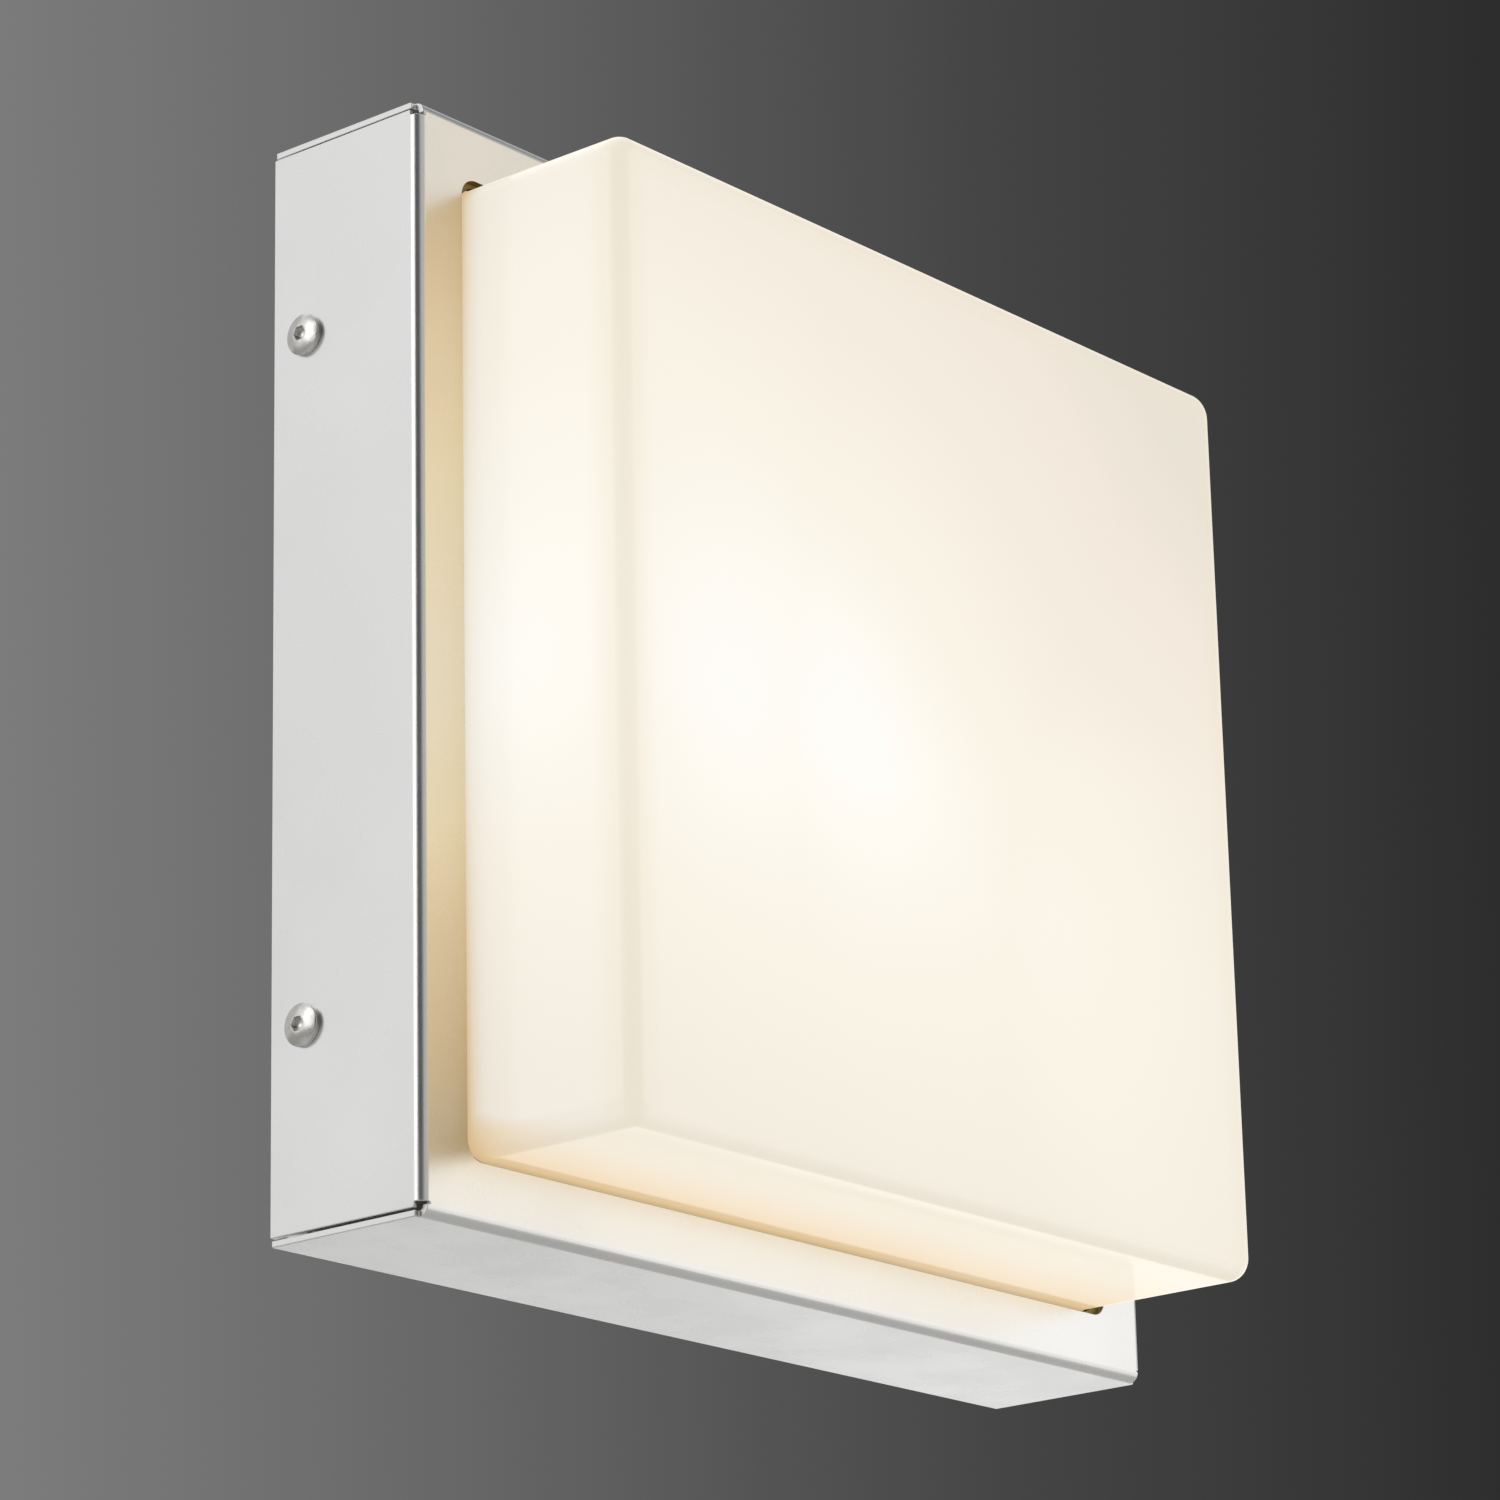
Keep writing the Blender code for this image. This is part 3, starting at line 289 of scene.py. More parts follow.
def satin_steel():
    """Blasted and electropolished sheet: even, soft gloss, and a painted highlight that makes it a little
    brighter along the cut edges.
    """
    mat, tree, shader = new_material("satin_steel_look")
    slow = patches(tree, 70 * MM, detail=2.0)
    colour = mix_colour(tree, slow, (0.79, 0.79, 0.785), (0.83, 0.83, 0.825))
    edges = edge_mask(tree, STEEL_EDGE)
    # Painted highlight: the base colour turns lighter along the cut edges
    edge_highlight = math_node(tree, "MULTIPLY", edges, STEEL_EDGE_HIGHLIGHT_SHARE)
    smudges = map_range(tree, noise(tree, 22 * MM), *STEEL_SMUDGES)
    put(shader.inputs["Base Color"], mix_colour(tree, edge_highlight, colour, (0.9, 0.9, 0.89)), tree)
    put(shader.inputs["Roughness"], math_node(tree, "MULTIPLY_ADD", edges, STEEL_EDGE_GLOSS, smudges), tree)
    put(shader.inputs["Normal"], wave_bump(tree, *STEEL_WAVES, detail=0.0), tree)
    shader.inputs["Metallic"].default_value = 1.0
    return mat


def screw_radius(tree):
    """Distance from the nearest cover screw's axis, which runs along X."""
    _, inward, up = own_parts(tree)
    above = math_node(tree, "SUBTRACT", math_node(tree, "ABSOLUTE", up), SCREW_HEIGHT)
    out = math_node(tree, "ADD", inward, SCREW_DEPTH)
    squares = math_node(tree, "MULTIPLY_ADD", above, above, math_node(tree, "MULTIPLY", out, out))
    return math_node(tree, "SQRT", squares)


def turned_steel():
    """Turned and washed stainless screw steel, with fine rings about each screw's axis."""
    mat, tree, shader = new_material("turned_steel_look")
    turns = math_node(tree, "MULTIPLY", screw_radius(tree), math.tau / RING_PITCH)
    rings = math_node(tree, "SINE", turns)
    grime = map_range(tree, noise(tree, 1.6 * MM, detail=4.0), 0.35, 0.65, 0.0, 1.0)
    put(shader.inputs["Base Color"], mix_colour(tree, grime, (0.82, 0.81, 0.79), (0.70, 0.68, 0.65)), tree)
    put(shader.inputs["Roughness"], map_range(tree, grime, 0, 1, 0.20, 0.30), tree)
    put(shader.inputs["Normal"], bump(tree, rings, RING_RELIEF), tree)
    shader.inputs["Metallic"].default_value = 1.0
    return mat


# The lamp's blurred images in the glass, two on its front and one on its left side, and the glow's soft
# tail towards the lower right. Each has a place and an added distance, which dims it or, below zero,
# brightens it.
GLOW_SPOTS = (
    ((-0.079, -0.078, -0.011), -0.012),
    ((-0.041, -0.079, -0.012), -0.004),
    ((-0.100, -0.060, -0.006), -0.008),
    ((0.042, -0.060, -0.032), 0.026),
)
GLOW_REACH = 0.22
GLOW_STRENGTH = 0.78

# The glow fades faster away from a diagonal that passes this far below the glass's centre
OFF_DIAGONAL = 0.24
DIAGONAL_DROP = 30 * MM

# The glass's visible tones, over the distance as a share of the glow's reach
VISIBLE_LIGHT = (
    (0.06, (1.00, 0.980, 0.950)),
    (0.13, (0.985, 0.945, 0.865)),
    (0.20, (0.960, 0.910, 0.810)),
    (0.31, (0.935, 0.870, 0.755)),
    (0.55, (0.870, 0.800, 0.690)),
    (0.77, (0.845, 0.750, 0.650)),
    (0.95, (0.750, 0.690, 0.590)),
)
CLOUD_SIZE = 60 * MM
CLOUD_SHARE = 0.05
UNDERSIDE_LIGHT = (0.785, 0.70, 0.56)
UNDERSIDE_SHARE = 0.85
UNDERSIDE_HEIGHTS = (-108 * MM, -109.9 * MM)
EDGE_LIGHT = (0.80, 0.69, 0.48)
SIDE_EDGE = (10 * MM, 0.48)
TOP_EDGE = (9 * MM, 0.40)

# The painted warmer glow at the rim reaches from the cover to a depth which is greater on the underside.
# Between two glow distances it gains from its weakest to full strength, so it is weaker beside the lamp.
RIM_LIGHT = (0.80, 0.58, 0.32)
RIM_START = 43.5 * MM
RIM_ENDS = (80 * MM, 49.5 * MM)
RIM_END_HEIGHTS = (-109 * MM, -101 * MM)
RIM_BY_DISTANCE = (0.20, 0.60, 0.15, 1.0)

# What the glass throws on its surroundings, over the same distances. It is warmer than the visible
# tones, which are those of an overexposed photograph.
CAST_LIGHT = (
    (0.10, (1.00, 0.85, 0.56)),
    (0.24, (1.00, 0.80, 0.45)),
    (0.38, (0.85, 0.61, 0.30)),
    (0.52, (0.70, 0.48, 0.20)),
    (0.64, (0.50, 0.35, 0.17)),
)
CAST_DOWNWARDS = ((0.90, 0.74, 0.52), (1.00, 0.91, 0.78))
CAST_DOWNWARDS_DEPTHS = (47 * MM, 62 * MM)

# Only the glass's outer skin in front of the cover throws light, so no light leaks through the cover's seams
CAST_START = 44 * MM
OUTER_WALL_SKIN = 2.7 * MM
OUTER_FRONT_SKIN = 2.5 * MM

GLASS_COLOUR = (0.40, 0.40, 0.385)
# Painted glow: the warmer, darker base colour that the glass takes on where the painted rim glow lies
GLASS_RIM_GLOW_COLOUR = (0.38, 0.31, 0.18)
GLASS_SPECULAR = 0.22
GLASS_WAVES = (38 * MM, 0.04 * MM)


def glow_distance(tree, across, up):
    """Distance to the nearest glow spot as a share of the reach, longer away from the bright diagonal."""
    point = own_point(tree)
    nearest = None
    for spot, dimmer in GLOW_SPOTS:
        distance = math_node(tree, "ADD", vector_node(tree, "DISTANCE", point, spot), dimmer)
        nearest = distance if nearest is None else math_node(tree, "MINIMUM", nearest, distance)
    above = math_node(tree, "ADD", up, DIAGONAL_DROP)
    aside = math_node(tree, "ABSOLUTE", math_node(tree, "ADD", across, above))
    total = math_node(tree, "MULTIPLY_ADD", aside, OFF_DIAGONAL, nearest)
    return math_node(tree, "DIVIDE", total, GLOW_REACH)


def front_edge_mask(tree, across, depth, width, share):
    """The given share along a side's front edge, fading to 0 at a width from it on both faces."""
    out = map_range(tree, across, GLASS_HALF - width, GLASS_HALF, 0.0, 1.0)
    front = map_range(tree, depth, GLASS_DEPTH - width, GLASS_DEPTH, 0.0, 1.0)
    return math_node(tree, "MULTIPLY", math_node(tree, "MULTIPLY", out, front), share)


def rim_mask(tree, near, depth, up):
    """1 where the glass enters the cover, fading out towards the front."""
    end = map_range(tree, up, *RIM_END_HEIGHTS, *RIM_ENDS, smooth=True)
    rim = map_range(tree, depth, RIM_START, end, 1.0, 0.0)
    rim = math_node(tree, "MULTIPLY", rim, rim)
    return math_node(tree, "MULTIPLY", rim, map_range(tree, near, *RIM_BY_DISTANCE))


def visible_glow(tree, near, rim, below, aside, depth, up):
    """The glass's own tone where the camera looks at it."""
    half = CLOUD_SHARE / 2
    cloud = math_node(tree, "MULTIPLY_ADD", noise(tree, CLOUD_SIZE, detail=1.0), CLOUD_SHARE, -half)
    light = ramp(tree, math_node(tree, "ADD", near, cloud), VISIBLE_LIGHT)
    light = mix_colour(tree, math_node(tree, "MULTIPLY", below, UNDERSIDE_SHARE), light, UNDERSIDE_LIGHT)
    light = mix_colour(tree, rim, light, RIM_LIGHT)
    side_edges = front_edge_mask(tree, aside, depth, *SIDE_EDGE)
    top_edge = front_edge_mask(tree, up, depth, *TOP_EDGE)
    return mix_colour(tree, math_node(tree, "MAXIMUM", side_edges, top_edge), light, EDGE_LIGHT)


def cast_glow(tree, near, below, aside, depth, up):
    """The light that the glass throws on the pieces round it."""
    downwards_share = map_range(tree, depth, *CAST_DOWNWARDS_DEPTHS, 0.0, 1.0)
    downwards = mix_colour(tree, downwards_share, *CAST_DOWNWARDS)
    cast = mix_colour(tree, below, ramp(tree, near, CAST_LIGHT), downwards)
    outwards = math_node(tree, "MAXIMUM", aside, math_node(tree, "ABSOLUTE", up))
    outer_wall = math_node(tree, "GREATER_THAN", outwards, GLASS_HALF - OUTER_WALL_SKIN)
    outer_front = math_node(tree, "GREATER_THAN", depth, GLASS_DEPTH - OUTER_FRONT_SKIN)
    outer = math_node(tree, "MAXIMUM", outer_wall, outer_front)
    before_cover = math_node(tree, "GREATER_THAN", depth, CAST_START)
    return mix_colour(tree, math_node(tree, "MULTIPLY", outer, before_cover), (0, 0, 0), cast)


def opal_glass():
    """Blown opal glass lit from inside: brightest round the lamp, warm at its rim and round edges."""
    mat, tree, shader = new_material("opal_glass_look")
    across, inward, up = own_parts(tree)
    depth = math_node(tree, "MULTIPLY", inward, -1.0)
    aside = math_node(tree, "ABSOLUTE", across)
    near = glow_distance(tree, across, up)
    below = map_range(tree, up, *UNDERSIDE_HEIGHTS, 0.0, 1.0)
    rim = rim_mask(tree, near, depth, up)
    light = visible_glow(tree, near, rim, below, aside, depth, up)
    cast = cast_glow(tree, near, below, aside, depth, up)
    seen = tree.nodes.new("ShaderNodeLightPath").outputs["Is Camera Ray"]
    put(shader.inputs["Emission Color"], mix_colour(tree, seen, cast, light), tree)
    # Painted glow: the base colour turns warmer and darker at the rim, following the painted rim glow
    put(shader.inputs["Base Color"], mix_colour(tree, rim, GLASS_COLOUR, GLASS_RIM_GLOW_COLOUR), tree)
    put(shader.inputs["Roughness"], patches(tree, 45 * MM, 0.09, 0.14), tree)
    put(shader.inputs["Normal"], wave_bump(tree, *GLASS_WAVES, detail=1.0), tree)
    shader.inputs["Emission Strength"].default_value = GLOW_STRENGTH
    shader.inputs["Specular IOR Level"].default_value = GLASS_SPECULAR
    return mat


GLOBE_LIGHT = ((0.0, (1.0, 0.97, 0.90)), (0.6, (1.0, 0.95, 0.86)), (1.0, (0.86, 0.74, 0.58)))
GLOBE_STRENGTH = 0.8


def opal_plastic():
    """The lamp's globe, lit from inside and fading towards its rim."""
    mat, tree, shader = new_material("opal_plastic_look")
    middle = LAMP_PLACE @ Vector((0, 0, GLOBE_CENTRE))
    along = vector_node(tree, "SUBTRACT", own_point(tree), tuple(middle))
    height = vector_node(tree, "DOT_PRODUCT", along, tuple(LAMP_PLACE.to_3x3() @ Vector((0, 0, 1))))
    fade = map_range(tree, height, -GLOBE_RADIUS, GLOBE_RIM - GLOBE_CENTRE, 0.0, 1.0)
    put(shader.inputs["Emission Color"], ramp(tree, fade, GLOBE_LIGHT), tree)
    speck = patches(tree, 12 * MM)
    put(shader.inputs["Base Color"], mix_colour(tree, speck, (0.52, 0.50, 0.46), (0.56, 0.54, 0.50)), tree)
    put(shader.inputs["Roughness"], map_range(tree, speck, 0, 1, 0.28, 0.36), tree)
    put(shader.inputs["Normal"], wave_bump(tree, 0.7 * MM, 0.008 * MM), tree)
    shader.inputs["Emission Strength"].default_value = GLOBE_STRENGTH
    return mat


TRACK_PITCH = 5 * MM
TRACK_RELIEF = 0.03 * MM


def circuit_board():
    """A white solder-mask board with darker tracks under the mask."""
    mat, tree, shader = new_material("circuit_board_look")
    tracks = tree.nodes.new("ShaderNodeTexVoronoi")
    tracks.feature = "DISTANCE_TO_EDGE"
    tracks.inputs["Scale"].default_value = 1 / TRACK_PITCH
    put(tracks.inputs["Vector"], own_point(tree), tree)
    line = map_range(tree, tracks.outputs["Distance"], 0.05, 0.09, 1.0, 0.0)
    put(shader.inputs["Base Color"], mix_colour(tree, line, (0.80, 0.80, 0.77), (0.66, 0.68, 0.62)), tree)
    put(shader.inputs["Roughness"], patches(tree, 4 * MM, 0.35, 0.5), tree)
    put(shader.inputs["Normal"], bump(tree, line, TRACK_RELIEF), tree)
    return mat


def striped_sleeve():
    """Green insulation with a yellow stripe along the side that faces out from the wall."""
    mat, tree, shader = new_material("green_yellow_sleeve_look")
    normal = tree.nodes.new("ShaderNodeTexCoord").outputs["Normal"]
    facing = vector_node(tree, "DOT_PRODUCT", normal, (0, -1, 0))
    stripe = map_range(tree, facing, 0.70, 0.74, 0.0, 1.0)
    speck = patches(tree, 6 * MM)
    green = mix_colour(tree, speck, (0.05, 0.25, 0.06), (0.07, 0.30, 0.08))
    put(shader.inputs["Base Color"], mix_colour(tree, stripe, green, (0.75, 0.62, 0.06)), tree)
    put(shader.inputs["Roughness"], map_range(tree, speck, 0, 1, 0.38, 0.48), tree)
    put(shader.inputs["Normal"], wave_bump(tree, 0.6 * MM, 0.01 * MM), tree)
    return mat


# Plain finishes by slot: two colours, the range of roughness, and what differs from the defaults
METAL = {"metallic": 1.0, "relief": METAL_RELIEF}
PLAIN_FINISHES = {
    "silicone": (((0.34, 0.25, 0.06), (0.46, 0.33, 0.09)), (0.32, 0.45), {"blotch": 8 * MM}),
    "zinc": (((0.60, 0.61, 0.63), (0.72, 0.72, 0.72)), (0.30, 0.46), {"blotch": 3 * MM, **METAL}),
    "nickel": (((0.68, 0.64, 0.57), (0.76, 0.73, 0.67)), (0.18, 0.30), {"blotch": 9 * MM, **METAL}),
    "brass": (((0.78, 0.56, 0.24), (0.86, 0.66, 0.34)), (0.20, 0.34), {"blotch": 5 * MM, **METAL}),
    "porcelain": (((0.80, 0.78, 0.72), (0.85, 0.83, 0.78)), (0.08, 0.16), {"grain": 3 * MM}),
    "black_glass": (((0.02, 0.02, 0.024), (0.035, 0.035, 0.04)), (0.08, 0.16), {}),
    "white_plastic": (((0.78, 0.78, 0.76), (0.83, 0.83, 0.81)), (0.32, 0.42), {}),
    "terminal_plastic": (((0.74, 0.74, 0.71), (0.80, 0.80, 0.77)), (0.38, 0.50), {"grain": 0.5 * MM}),
    "black_rubber": (((0.025, 0.025, 0.025), (0.045, 0.045, 0.045)), (0.60, 0.75), {"grain": 0.4 * MM}),
    "brown_sleeve": (((0.15, 0.06, 0.025), (0.20, 0.085, 0.035)), (0.36, 0.46), {}),
    "blue_sleeve": (((0.02, 0.10, 0.40), (0.03, 0.14, 0.50)), (0.36, 0.46), {}),
}


def make_materials():
    mats = {
        "satin_steel": satin_steel(),
        "opal_glass": opal_glass(),
        "opal_plastic": opal_plastic(),
        "stainless": turned_steel(),
        "circuit_board": circuit_board(),
        "green_yellow_sleeve": striped_sleeve(),
    }
    for slot, (colours, roughness, rest) in PLAIN_FINISHES.items():
        mats[slot] = plain_finish(f"{slot}_look", colours, roughness, **rest)
    return mats


# ---------------------------------------------------------------- making pieces


SLOT_OF = {row["node"]: row["material_slot"] for row in frame["record"]["subparts"]}
BODY_OF = {
    node: body
    for body, members in frame["record"]["behaviour"]["bodies"].items()
    for node in members
}


def add_piece(name, mesh, node, mats):
    """Puts a mesh in the scene in place of a CAD node: on its body, in its slot's finish."""
    obj = bpy.data.objects.new(name, mesh)
    bpy.context.collection.objects.link(obj)
    mesh.materials.append(mats[SLOT_OF[node]])
    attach(obj, BODY_OF[node])
    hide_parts(node)
    return obj


def add_bevel(obj, width):
    """Rounds the sharp edges and keeps the flat faces' shading flat."""
    bevel = obj.modifiers.new("edges", "BEVEL")
    bevel.limit_method = "ANGLE"
    bevel.angle_limit = SMOOTH_ANGLE
    bevel.width = width
    bevel.segments = BEVEL_SEGMENTS
    bevel.miter_outer = "MITER_ARC"
    weigh_normals(obj)


def weigh_normals(obj):
    weighted = obj.modifiers.new("normals", "WEIGHTED_NORMAL")
    weighted.weight = FACE_WEIGHT
    weighted.keep_sharp = True


def welded_mesh(node):
    """A CAD node's mesh with its split corners joined and its flat faces whole again."""
    bm = bmesh.new()
    bm.from_mesh(frame["nodes"][node].data)
    bmesh.ops.remove_doubles(bm, verts=bm.verts, dist=WELD_DISTANCE)
    bmesh.ops.dissolve_limit(bm, angle_limit=FLAT_ANGLE, verts=bm.verts, edges=bm.edges)
    bm.verts.index_update()
    points = [vert.co.copy() for vert in bm.verts]
    faces = [[vert.index for vert in face.verts] for face in bm.faces]
    bm.free()
    mesh = bpy.data.meshes.new(f"fine_{node}")
    mesh.from_pydata(points, [], faces)
    mesh.shade_smooth()
    return mesh


def refine(node, mats, width):
    """Stands a piece with smooth curves and rounded edges in for a faceted CAD node."""
    add_bevel(add_piece(f"fine_{node}", welded_mesh(node), node, mats), width)


def mesh_from_loops(name, loops):
    """Joins equal loops of points in order, capped at both ends."""
    bm = bmesh.new()
    rings = [[bm.verts.new(point) for point in loop] for loop in loops]
    bm.faces.new(rings[0])
    bm.faces.new(rings[-1])
    for ring, following in zip(rings, rings[1:]):
        for i, vert in enumerate(ring):
            j = (i + 1) % len(ring)
            bm.faces.new((vert, ring[j], following[j], following[i]))
    return finished_mesh(name, bm)


def finished_mesh(name, bm):
    """Welds a bmesh and faces it outward, smooth except at its sharp edges."""
    bmesh.ops.remove_doubles(bm, verts=bm.verts, dist=WELD_DISTANCE)
    bmesh.ops.recalc_face_normals(bm, faces=bm.faces)
    mesh = bpy.data.meshes.new(name)
    bm.to_mesh(mesh)
    bm.free()
    mesh.shade_smooth()
    mesh.set_sharp_from_angle(angle=SMOOTH_ANGLE)
    return mesh


def arc(centre_a, centre_b, radius, start, end, steps):
    """Points along an arc, its angles in degrees from the first axis towards the second."""
    angles = [math.radians(start + (end - start) * i / steps) for i in range(steps + 1)]
    return [(centre_a + radius * math.cos(t), centre_b + radius * math.sin(t)) for t in angles]


def rounded_square(half, radius):
    """Points round a square with round corners."""
    inner = half - radius
    points = []
    for turn, (sign_a, sign_b) in enumerate([(1, 1), (-1, 1), (-1, -1), (1, -1)]):
        points += arc(sign_a * inner, sign_b * inner, radius, 90 * turn, 90 * turn + 90, CORNER_STEPS)
    return points


def circle_ring(radius, height):
    turns = [math.tau * i / ROUND_STEPS for i in range(ROUND_STEPS)]
    return [(radius * math.cos(t), radius * math.sin(t), height) for t in turns]


def hexagon_ring(across_flats, height):
    """Points round a hexagon at the directions of a circle's points."""
    points = []
    for i in range(ROUND_STEPS):
        angle = math.tau * i / ROUND_STEPS
        lean = (angle + math.pi / 6) % (math.pi / 3) - math.pi / 6
        radius = across_flats / 2 / math.cos(lean)
        points.append((radius * math.cos(angle), radius * math.sin(angle), height))
    return points


def lathe(name, profile):
    """Spins a profile of (radius, height) points about its own Z axis. Both ends lie on the axis."""
    bm = bmesh.new()
    tip, *middle, end = profile
    first = bm.verts.new((0, 0, tip[1]))
    last = bm.verts.new((0, 0, end[1]))
    rings = [[bm.verts.new(point) for point in circle_ring(*row)] for row in middle]
    for i in range(ROUND_STEPS):
        j = (i + 1) % ROUND_STEPS
        bm.faces.new((first, rings[0][i], rings[0][j]))
        bm.faces.new((last, rings[-1][j], rings[-1][i]))
        for ring, following in zip(rings, rings[1:]):
            bm.faces.new((ring[i], following[i], following[j], ring[j]))
    return finished_mesh(name, bm)


# ---------------------------------------------------------------- rebuilt pieces


def glass_loop(inset, depth):
    radius = max(GLASS_CORNER - inset, SMALLEST_CORNER)
    return [(x, -depth, z) for x, z in rounded_square(GLASS_HALF - inset, radius)]


def make_glass(mats):
    """The opal glass box, with finer corners and edges than its CAD node."""
    centre = GLASS_DEPTH - GLASS_EDGE
    inner_radius = GLASS_EDGE - GLASS_WALL
    section = [
        *arc(GLASS_EDGE, centre, GLASS_EDGE, 90, 180, EDGE_STEPS),
        (0, GLASS_DEPTH - 2 * GLASS_EDGE),
        (0, FLANGE_FRONT),
        *arc(FLANGE_LIP - FLANGE_WIDTH, FLANGE_FRONT - FLANGE_LIP, FLANGE_LIP, 90, 180, LIP_STEPS),
        (-FLANGE_WIDTH, FLANGE_REAR),
        (GLASS_WALL, FLANGE_REAR),
        *arc(GLASS_EDGE, centre, inner_radius, 180, 90, INNER_EDGE_STEPS),
    ]
    mesh = mesh_from_loops("opal_glass_box", [glass_loop(inset, depth) for inset, depth in section])
    weigh_normals(add_piece("opal_glass_box", mesh, "glass_diffuser", mats))


def screw_shank():
    """The shank's outline from its end to the head's underside, as (radius, height) points."""
    end = SCREW_SEAT - SCREW_LENGTH
    under = SCREW_SEAT - HEAD_DROP
    return [
        (POINT_RADIUS, end),
        (SCREW_RADIUS - SCREW_END_CHAMFER, end),
        (SCREW_RADIUS, end + SCREW_END_CHAMFER),
        (SCREW_RADIUS, under),
        (SCREW_HEAD_RADIUS - HEAD_CHAMFER, under),
        (SCREW_HEAD_RADIUS, under + HEAD_CHAMFER),
    ]


def screw_head(top):
    """The head's outline from its rim to the socket's face: a small fillet, then a flat dome."""
    face = math.acos(SCREW_FACE_RADIUS / SCREW_DOME)
    dome_centre = top - SCREW_DOME * math.sin(face)
    fillet_radius = SCREW_HEAD_RADIUS - SCREW_FILLET
    shoulder = math.acos(fillet_radius / (SCREW_DOME - SCREW_FILLET))
    fillet_centre = dome_centre + (SCREW_DOME - SCREW_FILLET) * math.sin(shoulder)
    start, end = math.degrees(shoulder), math.degrees(face)
    fillet = arc(fillet_radius, fillet_centre, SCREW_FILLET, 0, start, FILLET_STEPS)
    return fillet + arc(0, dome_centre, SCREW_DOME, start, end, DOME_STEPS)


def screw_mesh(name):
    """An M5 screw with a low button head and a chamfered hexagon socket, along its own Z axis."""
    top = SCREW_SEAT + SCREW_HEAD_HEIGHT
    bottom = top - SOCKET_DEPTH
    loops = [circle_ring(*row) for row in screw_shank() + screw_head(top)]
    loops.append(hexagon_ring(SOCKET_MOUTH, top))
    loops.append(hexagon_ring(SOCKET_ACROSS, top - SOCKET_CHAMFER))
    loops.append(hexagon_ring(SOCKET_ACROSS, bottom))
    loops.append(circle_ring(SOCKET_DRILL_RADIUS, bottom))
    loops.append(circle_ring(POINT_RADIUS, bottom - SOCKET_DRILL_POINT))
    return mesh_from_loops(name, loops)


def make_screw(label, side, height, mats):
    name = f"button_head_{label}"
    mesh = screw_mesh(name)
    turn = Matrix.Rotation(side * math.radians(90), 4, "Y")
    mesh.transform(Matrix.Translation((side * HOUSING_HALF, -SCREW_DEPTH, height)) @ turn)
    add_piece(name, mesh, f"cover_screw_{label}", mats)


def add_lamp_piece(name, mesh, node, mats):
    """Puts a mesh made along the lamp's own axis in its place."""
    mesh.transform(LAMP_PLACE)
    add_piece(name, mesh, node, mats)


def make_globe(mats):
    """The lamp's opal globe: a thin shell, open towards the collar."""
    rise = GLOBE_RIM - GLOBE_CENTRE
    walls = []
    for radius in (GLOBE_RADIUS, GLOBE_RADIUS - GLOBE_WALL):
        rim_angle = math.degrees(math.asin(rise / radius))
        wall = arc(0, GLOBE_CENTRE, radius, -90, rim_angle, GLOBE_STEPS)
        walls.append([(0, GLOBE_CENTRE - radius), *wall[1:]])
    add_lamp_piece("opal_globe", lathe("opal_globe", walls[0] + walls[1][::-1]), "lamp_globe", mats)


def thread_radius(height, turn):
    """The cap's radius at a height and a share of a turn, its thread fading out at both ends."""
    low, high = CAP_ENDS
    start = min(1, (height - low) / THREAD_FADES[0])
    end = min(1, (high - height) / THREAD_FADES[1])
    wave = 0.5 + 0.5 * math.cos(math.tau * (height / THREAD_PITCH - turn))
    radius = THREAD_ROOT + (THREAD_CREST - THREAD_ROOT) * wave
    return THREAD_CREST * (1 - start) + radius * start - THREAD_END_DROP * (1 - end)


def make_cap(mats):
    """The lamp's cap with its rolled right-hand thread."""
    low, high = CAP_ENDS
    bottom = low + CAP_CHAMFER
    loops = [circle_ring(POINT_RADIUS, low), circle_ring(THREAD_CREST - CAP_CHAMFER, low)]
    turns = [i / ROUND_STEPS for i in range(ROUND_STEPS)]
    for row in range(THREAD_ROWS + 1):
        height = bottom + (high - bottom) * row / THREAD_ROWS
        radii = [thread_radius(height, turn) for turn in turns]
        loops.append([
            (radius * math.cos(math.tau * turn), radius * math.sin(math.tau * turn), height)
            for radius, turn in zip(radii, turns)
        ])
    loops.append(circle_ring(POINT_RADIUS, high))
    add_lamp_piece("threaded_cap", mesh_from_loops("threaded_cap", loops), "lamp_cap", mats)


def make_collar(mats):
    """The lamp's tapering collar, with a soft shoulder."""
    points = [(radius * MM, LAMP_TIP + height * MM) for radius, height in COLLAR_OUTLINE]
    add_lamp_piece("lamp_collar_fine", lathe("lamp_collar_fine", points), "lamp_collar", mats)


REBUILT = {"glass_diffuser", "lamp_globe", "lamp_cap", "lamp_collar"}
BEVEL_WIDTHS = {
    "housing": 0.22 * MM,
    "back_plate": 0.22 * MM,
    "lampholder_body": 0.5 * MM,
    "lampholder_bracket": 0.25 * MM,
    "terminal_block": 0.4 * MM,
    "cable_grommet": 0.3 * MM,
    "glass_gasket": 0.25 * MM,
}
SMALL_BEVEL = 0.12 * MM


def make_pieces(mats):
    """The rebuilt pieces, and a refined copy of every other CAD node."""
    make_glass(mats)
    make_globe(mats)
    make_cap(mats)
    make_collar(mats)
    for side, side_label in ((-1, "left"), (1, "right")):
        for sign, label in ((1, "upper"), (-1, "lower")):
            make_screw(f"{side_label}_{label}", side, sign * SCREW_HEIGHT, mats)
    for node in sorted(frame["nodes"]):
        if node in REBUILT or node.startswith("cover_screw_"):
            continue
        refine(node, mats, BEVEL_WIDTHS.get(node, SMALL_BEVEL))


# ---------------------------------------------------------------- studio


def direction(azimuth, elevation):
    """A unit vector, its azimuth in degrees from +X towards +Y."""
    a, e = math.radians(azimuth), math.radians(elevation)
    return Vector((math.cos(a) * math.cos(e), math.sin(a) * math.cos(e), math.sin(e)))


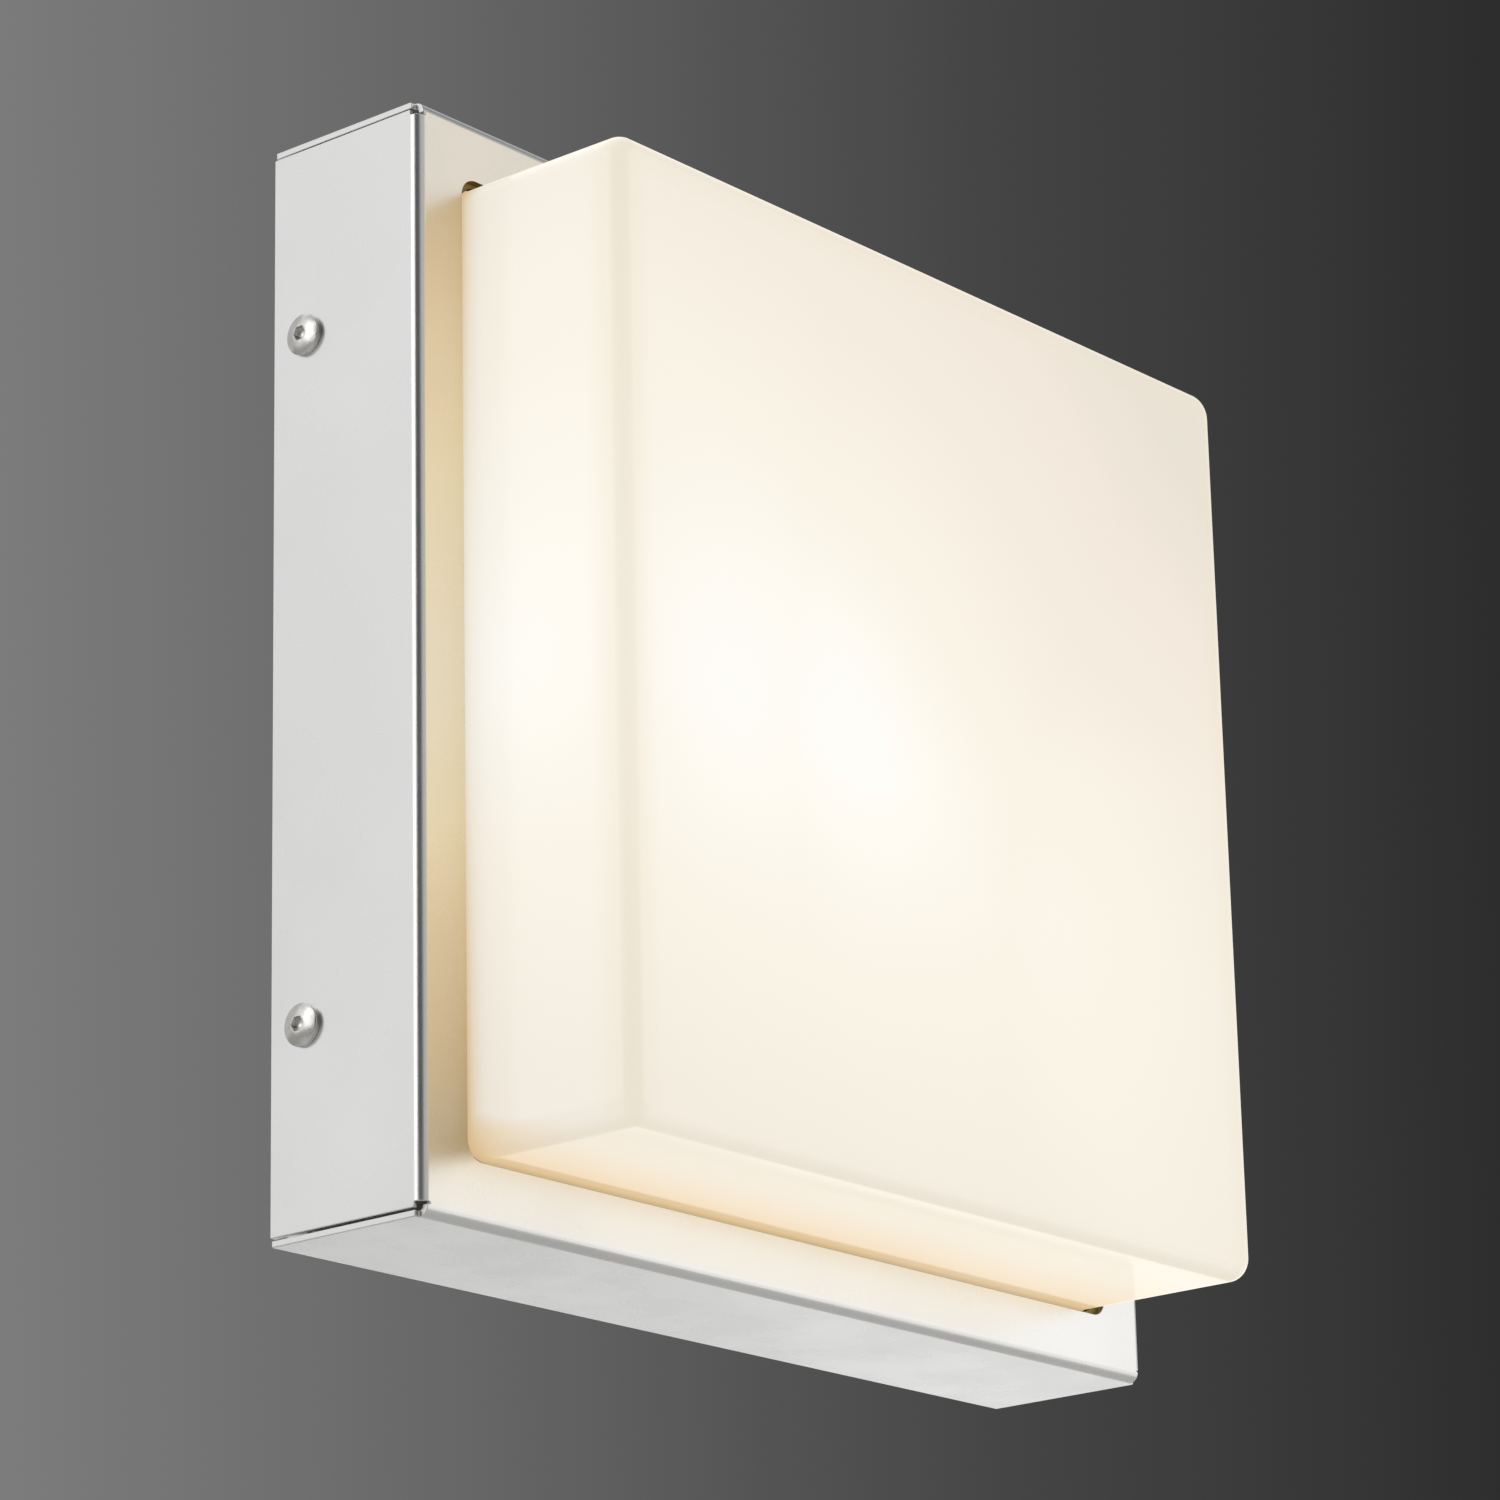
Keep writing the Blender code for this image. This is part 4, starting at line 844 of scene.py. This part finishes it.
def softbox(name, azimuth, elevation, distance, size, radiance, colour):
    """A soft area light that faces the lantern and that no camera sees."""
    light = bpy.data.lights.new(name, "AREA")
    light.shape = "RECTANGLE"
    light.size, light.size_y = size
    light.energy = radiance * math.pi * size[0] * size[1]
    light.color = colour
    obj = bpy.data.objects.new(name, light)
    bpy.context.collection.objects.link(obj)
    towards = direction(azimuth, elevation)
    obj.location = towards * distance
    obj.rotation_euler = towards.to_track_quat("Z", "Y").to_euler()
    obj.visible_camera = False


# The backdrop as the camera sees it: how far it reaches to each side, its greys from left to right, and
# where it fades into the surroundings' grey
BACKDROP_REACH = 0.131
BACKDROP = ((0.0, 0.200), (0.27, 0.141), (0.5, 0.088), (0.68, 0.057), (1.0, 0.026))
BACKDROP_EDGE = (math.cos(math.radians(18)), math.cos(math.radians(13)))
SURROUNDINGS = (0.20, 0.20, 0.20)

# What lights the lantern and shows in the steel: an even grey with two dark areas, each with its azimuth,
# elevation and the cosines of the angles where it begins and is full
STUDIO_GREY = (0.52, 0.52, 0.52)
STUDIO_DARK = (0.07, 0.07, 0.07)
DARK_SIDES = ((203, 14, 0.62, 0.93), (-40, 64, 0.86, 0.97))

# Soft boxes: name, azimuth, elevation, distance, size, radiance and colour. The left ones show in the
# cover's side, its bend and the screws, and the right ones in its front and underside.
WHITE = (1, 1, 1)
SOFTBOXES = (
    ("left_rear_box", 148, 22, 1.6, (1.0, 1.7), 0.36, WHITE),
    ("left_strip_box", 174.5, 20, 1.6, (0.80, 1.3), 1.3, WHITE),
    ("right_front_box", -42, -11.5, 1.7, (1.6, 1.84), 0.64, (1.0, 0.98, 0.94)),
    ("right_upper_box", -42, 25, 1.7, (1.6, 0.52), 0.44, (1.0, 0.82, 0.54)),
    ("right_rear_box", 20, -14, 1.7, (1.8, 0.9), 0.50, WHITE),
    ("right_end_box", 14, -14, 1.7, (1.5, 0.9), 0.15, WHITE),
    ("overhead_box", 90, 78, 1.6, (1.4, 1.4), 0.5, WHITE),
)
FLOOR_HALF = 40
FLOOR_HEIGHT = -0.7
FLOOR_COLOURS = ((0.74, 0.74, 0.73), (0.77, 0.77, 0.76))
FLOOR_BLOTCH = 0.5


def make_world():
    """A grey backdrop that darkens to the right behind the lantern, and a soft studio light."""
    world = bpy.data.worlds.new("studio")
    bpy.context.scene.world = world
    world.use_nodes = True
    tree = world.node_tree
    looking = tree.nodes.new("ShaderNodeTexCoord").outputs["Generated"]
    across = vector_node(tree, "DOT_PRODUCT", looking, tuple(CAMERA_RIGHT))
    position = map_range(tree, across, -BACKDROP_REACH, BACKDROP_REACH, 0.0, 1.0)
    backdrop = ramp(tree, position, [(place, (grey, grey, grey)) for place, grey in BACKDROP])
    ahead = vector_node(tree, "DOT_PRODUCT", looking, tuple(CAMERA_FORWARD))
    behind_lantern = map_range(tree, ahead, *BACKDROP_EDGE, 0.0, 1.0, smooth=True)
    backdrop = mix_colour(tree, behind_lantern, SURROUNDINGS, backdrop)
    studio = STUDIO_GREY
    for azimuth, elevation, outer, inner in DARK_SIDES:
        aim = vector_node(tree, "DOT_PRODUCT", looking, tuple(direction(azimuth, elevation)))
        dimming = map_range(tree, aim, outer, inner, 0.0, 1.0, smooth=True)
        studio = mix_colour(tree, dimming, studio, STUDIO_DARK)
    seen = tree.nodes.new("ShaderNodeLightPath").outputs["Is Camera Ray"]
    background = tree.nodes["Background"]
    put(background.inputs["Color"], mix_colour(tree, seen, studio, backdrop), tree)


def make_floor():
    mesh = bpy.data.meshes.new("floor")
    corners = [(x * FLOOR_HALF, y * FLOOR_HALF, 0) for x, y in ((-1, -1), (1, -1), (1, 1), (-1, 1))]
    mesh.from_pydata(corners, [], [(0, 1, 2, 3)])
    mesh.materials.append(plain_finish("floor_look", FLOOR_COLOURS, (0.7, 0.8), blotch=FLOOR_BLOTCH))
    floor = bpy.data.objects.new("floor", mesh)
    floor.location = (0, 0, FLOOR_HEIGHT)
    bpy.context.collection.objects.link(floor)


def make_camera():
    """The photograph's camera: a long lens from the left, in front of and below the lantern."""
    up = CAMERA_RIGHT.cross(CAMERA_FORWARD)
    cosine, sine = math.cos(CAMERA_ROLL), math.sin(CAMERA_ROLL)
    right = cosine * CAMERA_RIGHT + sine * up
    up = cosine * up - sine * CAMERA_RIGHT
    data = bpy.data.cameras.new("camera")
    data.lens = CAMERA_LENS
    data.sensor_width = SENSOR_WIDTH
    data.clip_start, data.clip_end = CAMERA_CLIP
    camera = bpy.data.objects.new("camera", data)
    bpy.context.collection.objects.link(camera)
    place = Matrix((right, up, -CAMERA_FORWARD)).transposed().to_4x4()
    place.translation = CAMERA_PLACE
    camera.matrix_world = place
    bpy.context.scene.camera = camera


def main():
    bpy.context.scene.view_settings.view_transform = "Standard"
    make_camera()
    make_world()
    make_floor()
    for row in SOFTBOXES:
        softbox(*row)
    make_pieces(make_materials())


main()
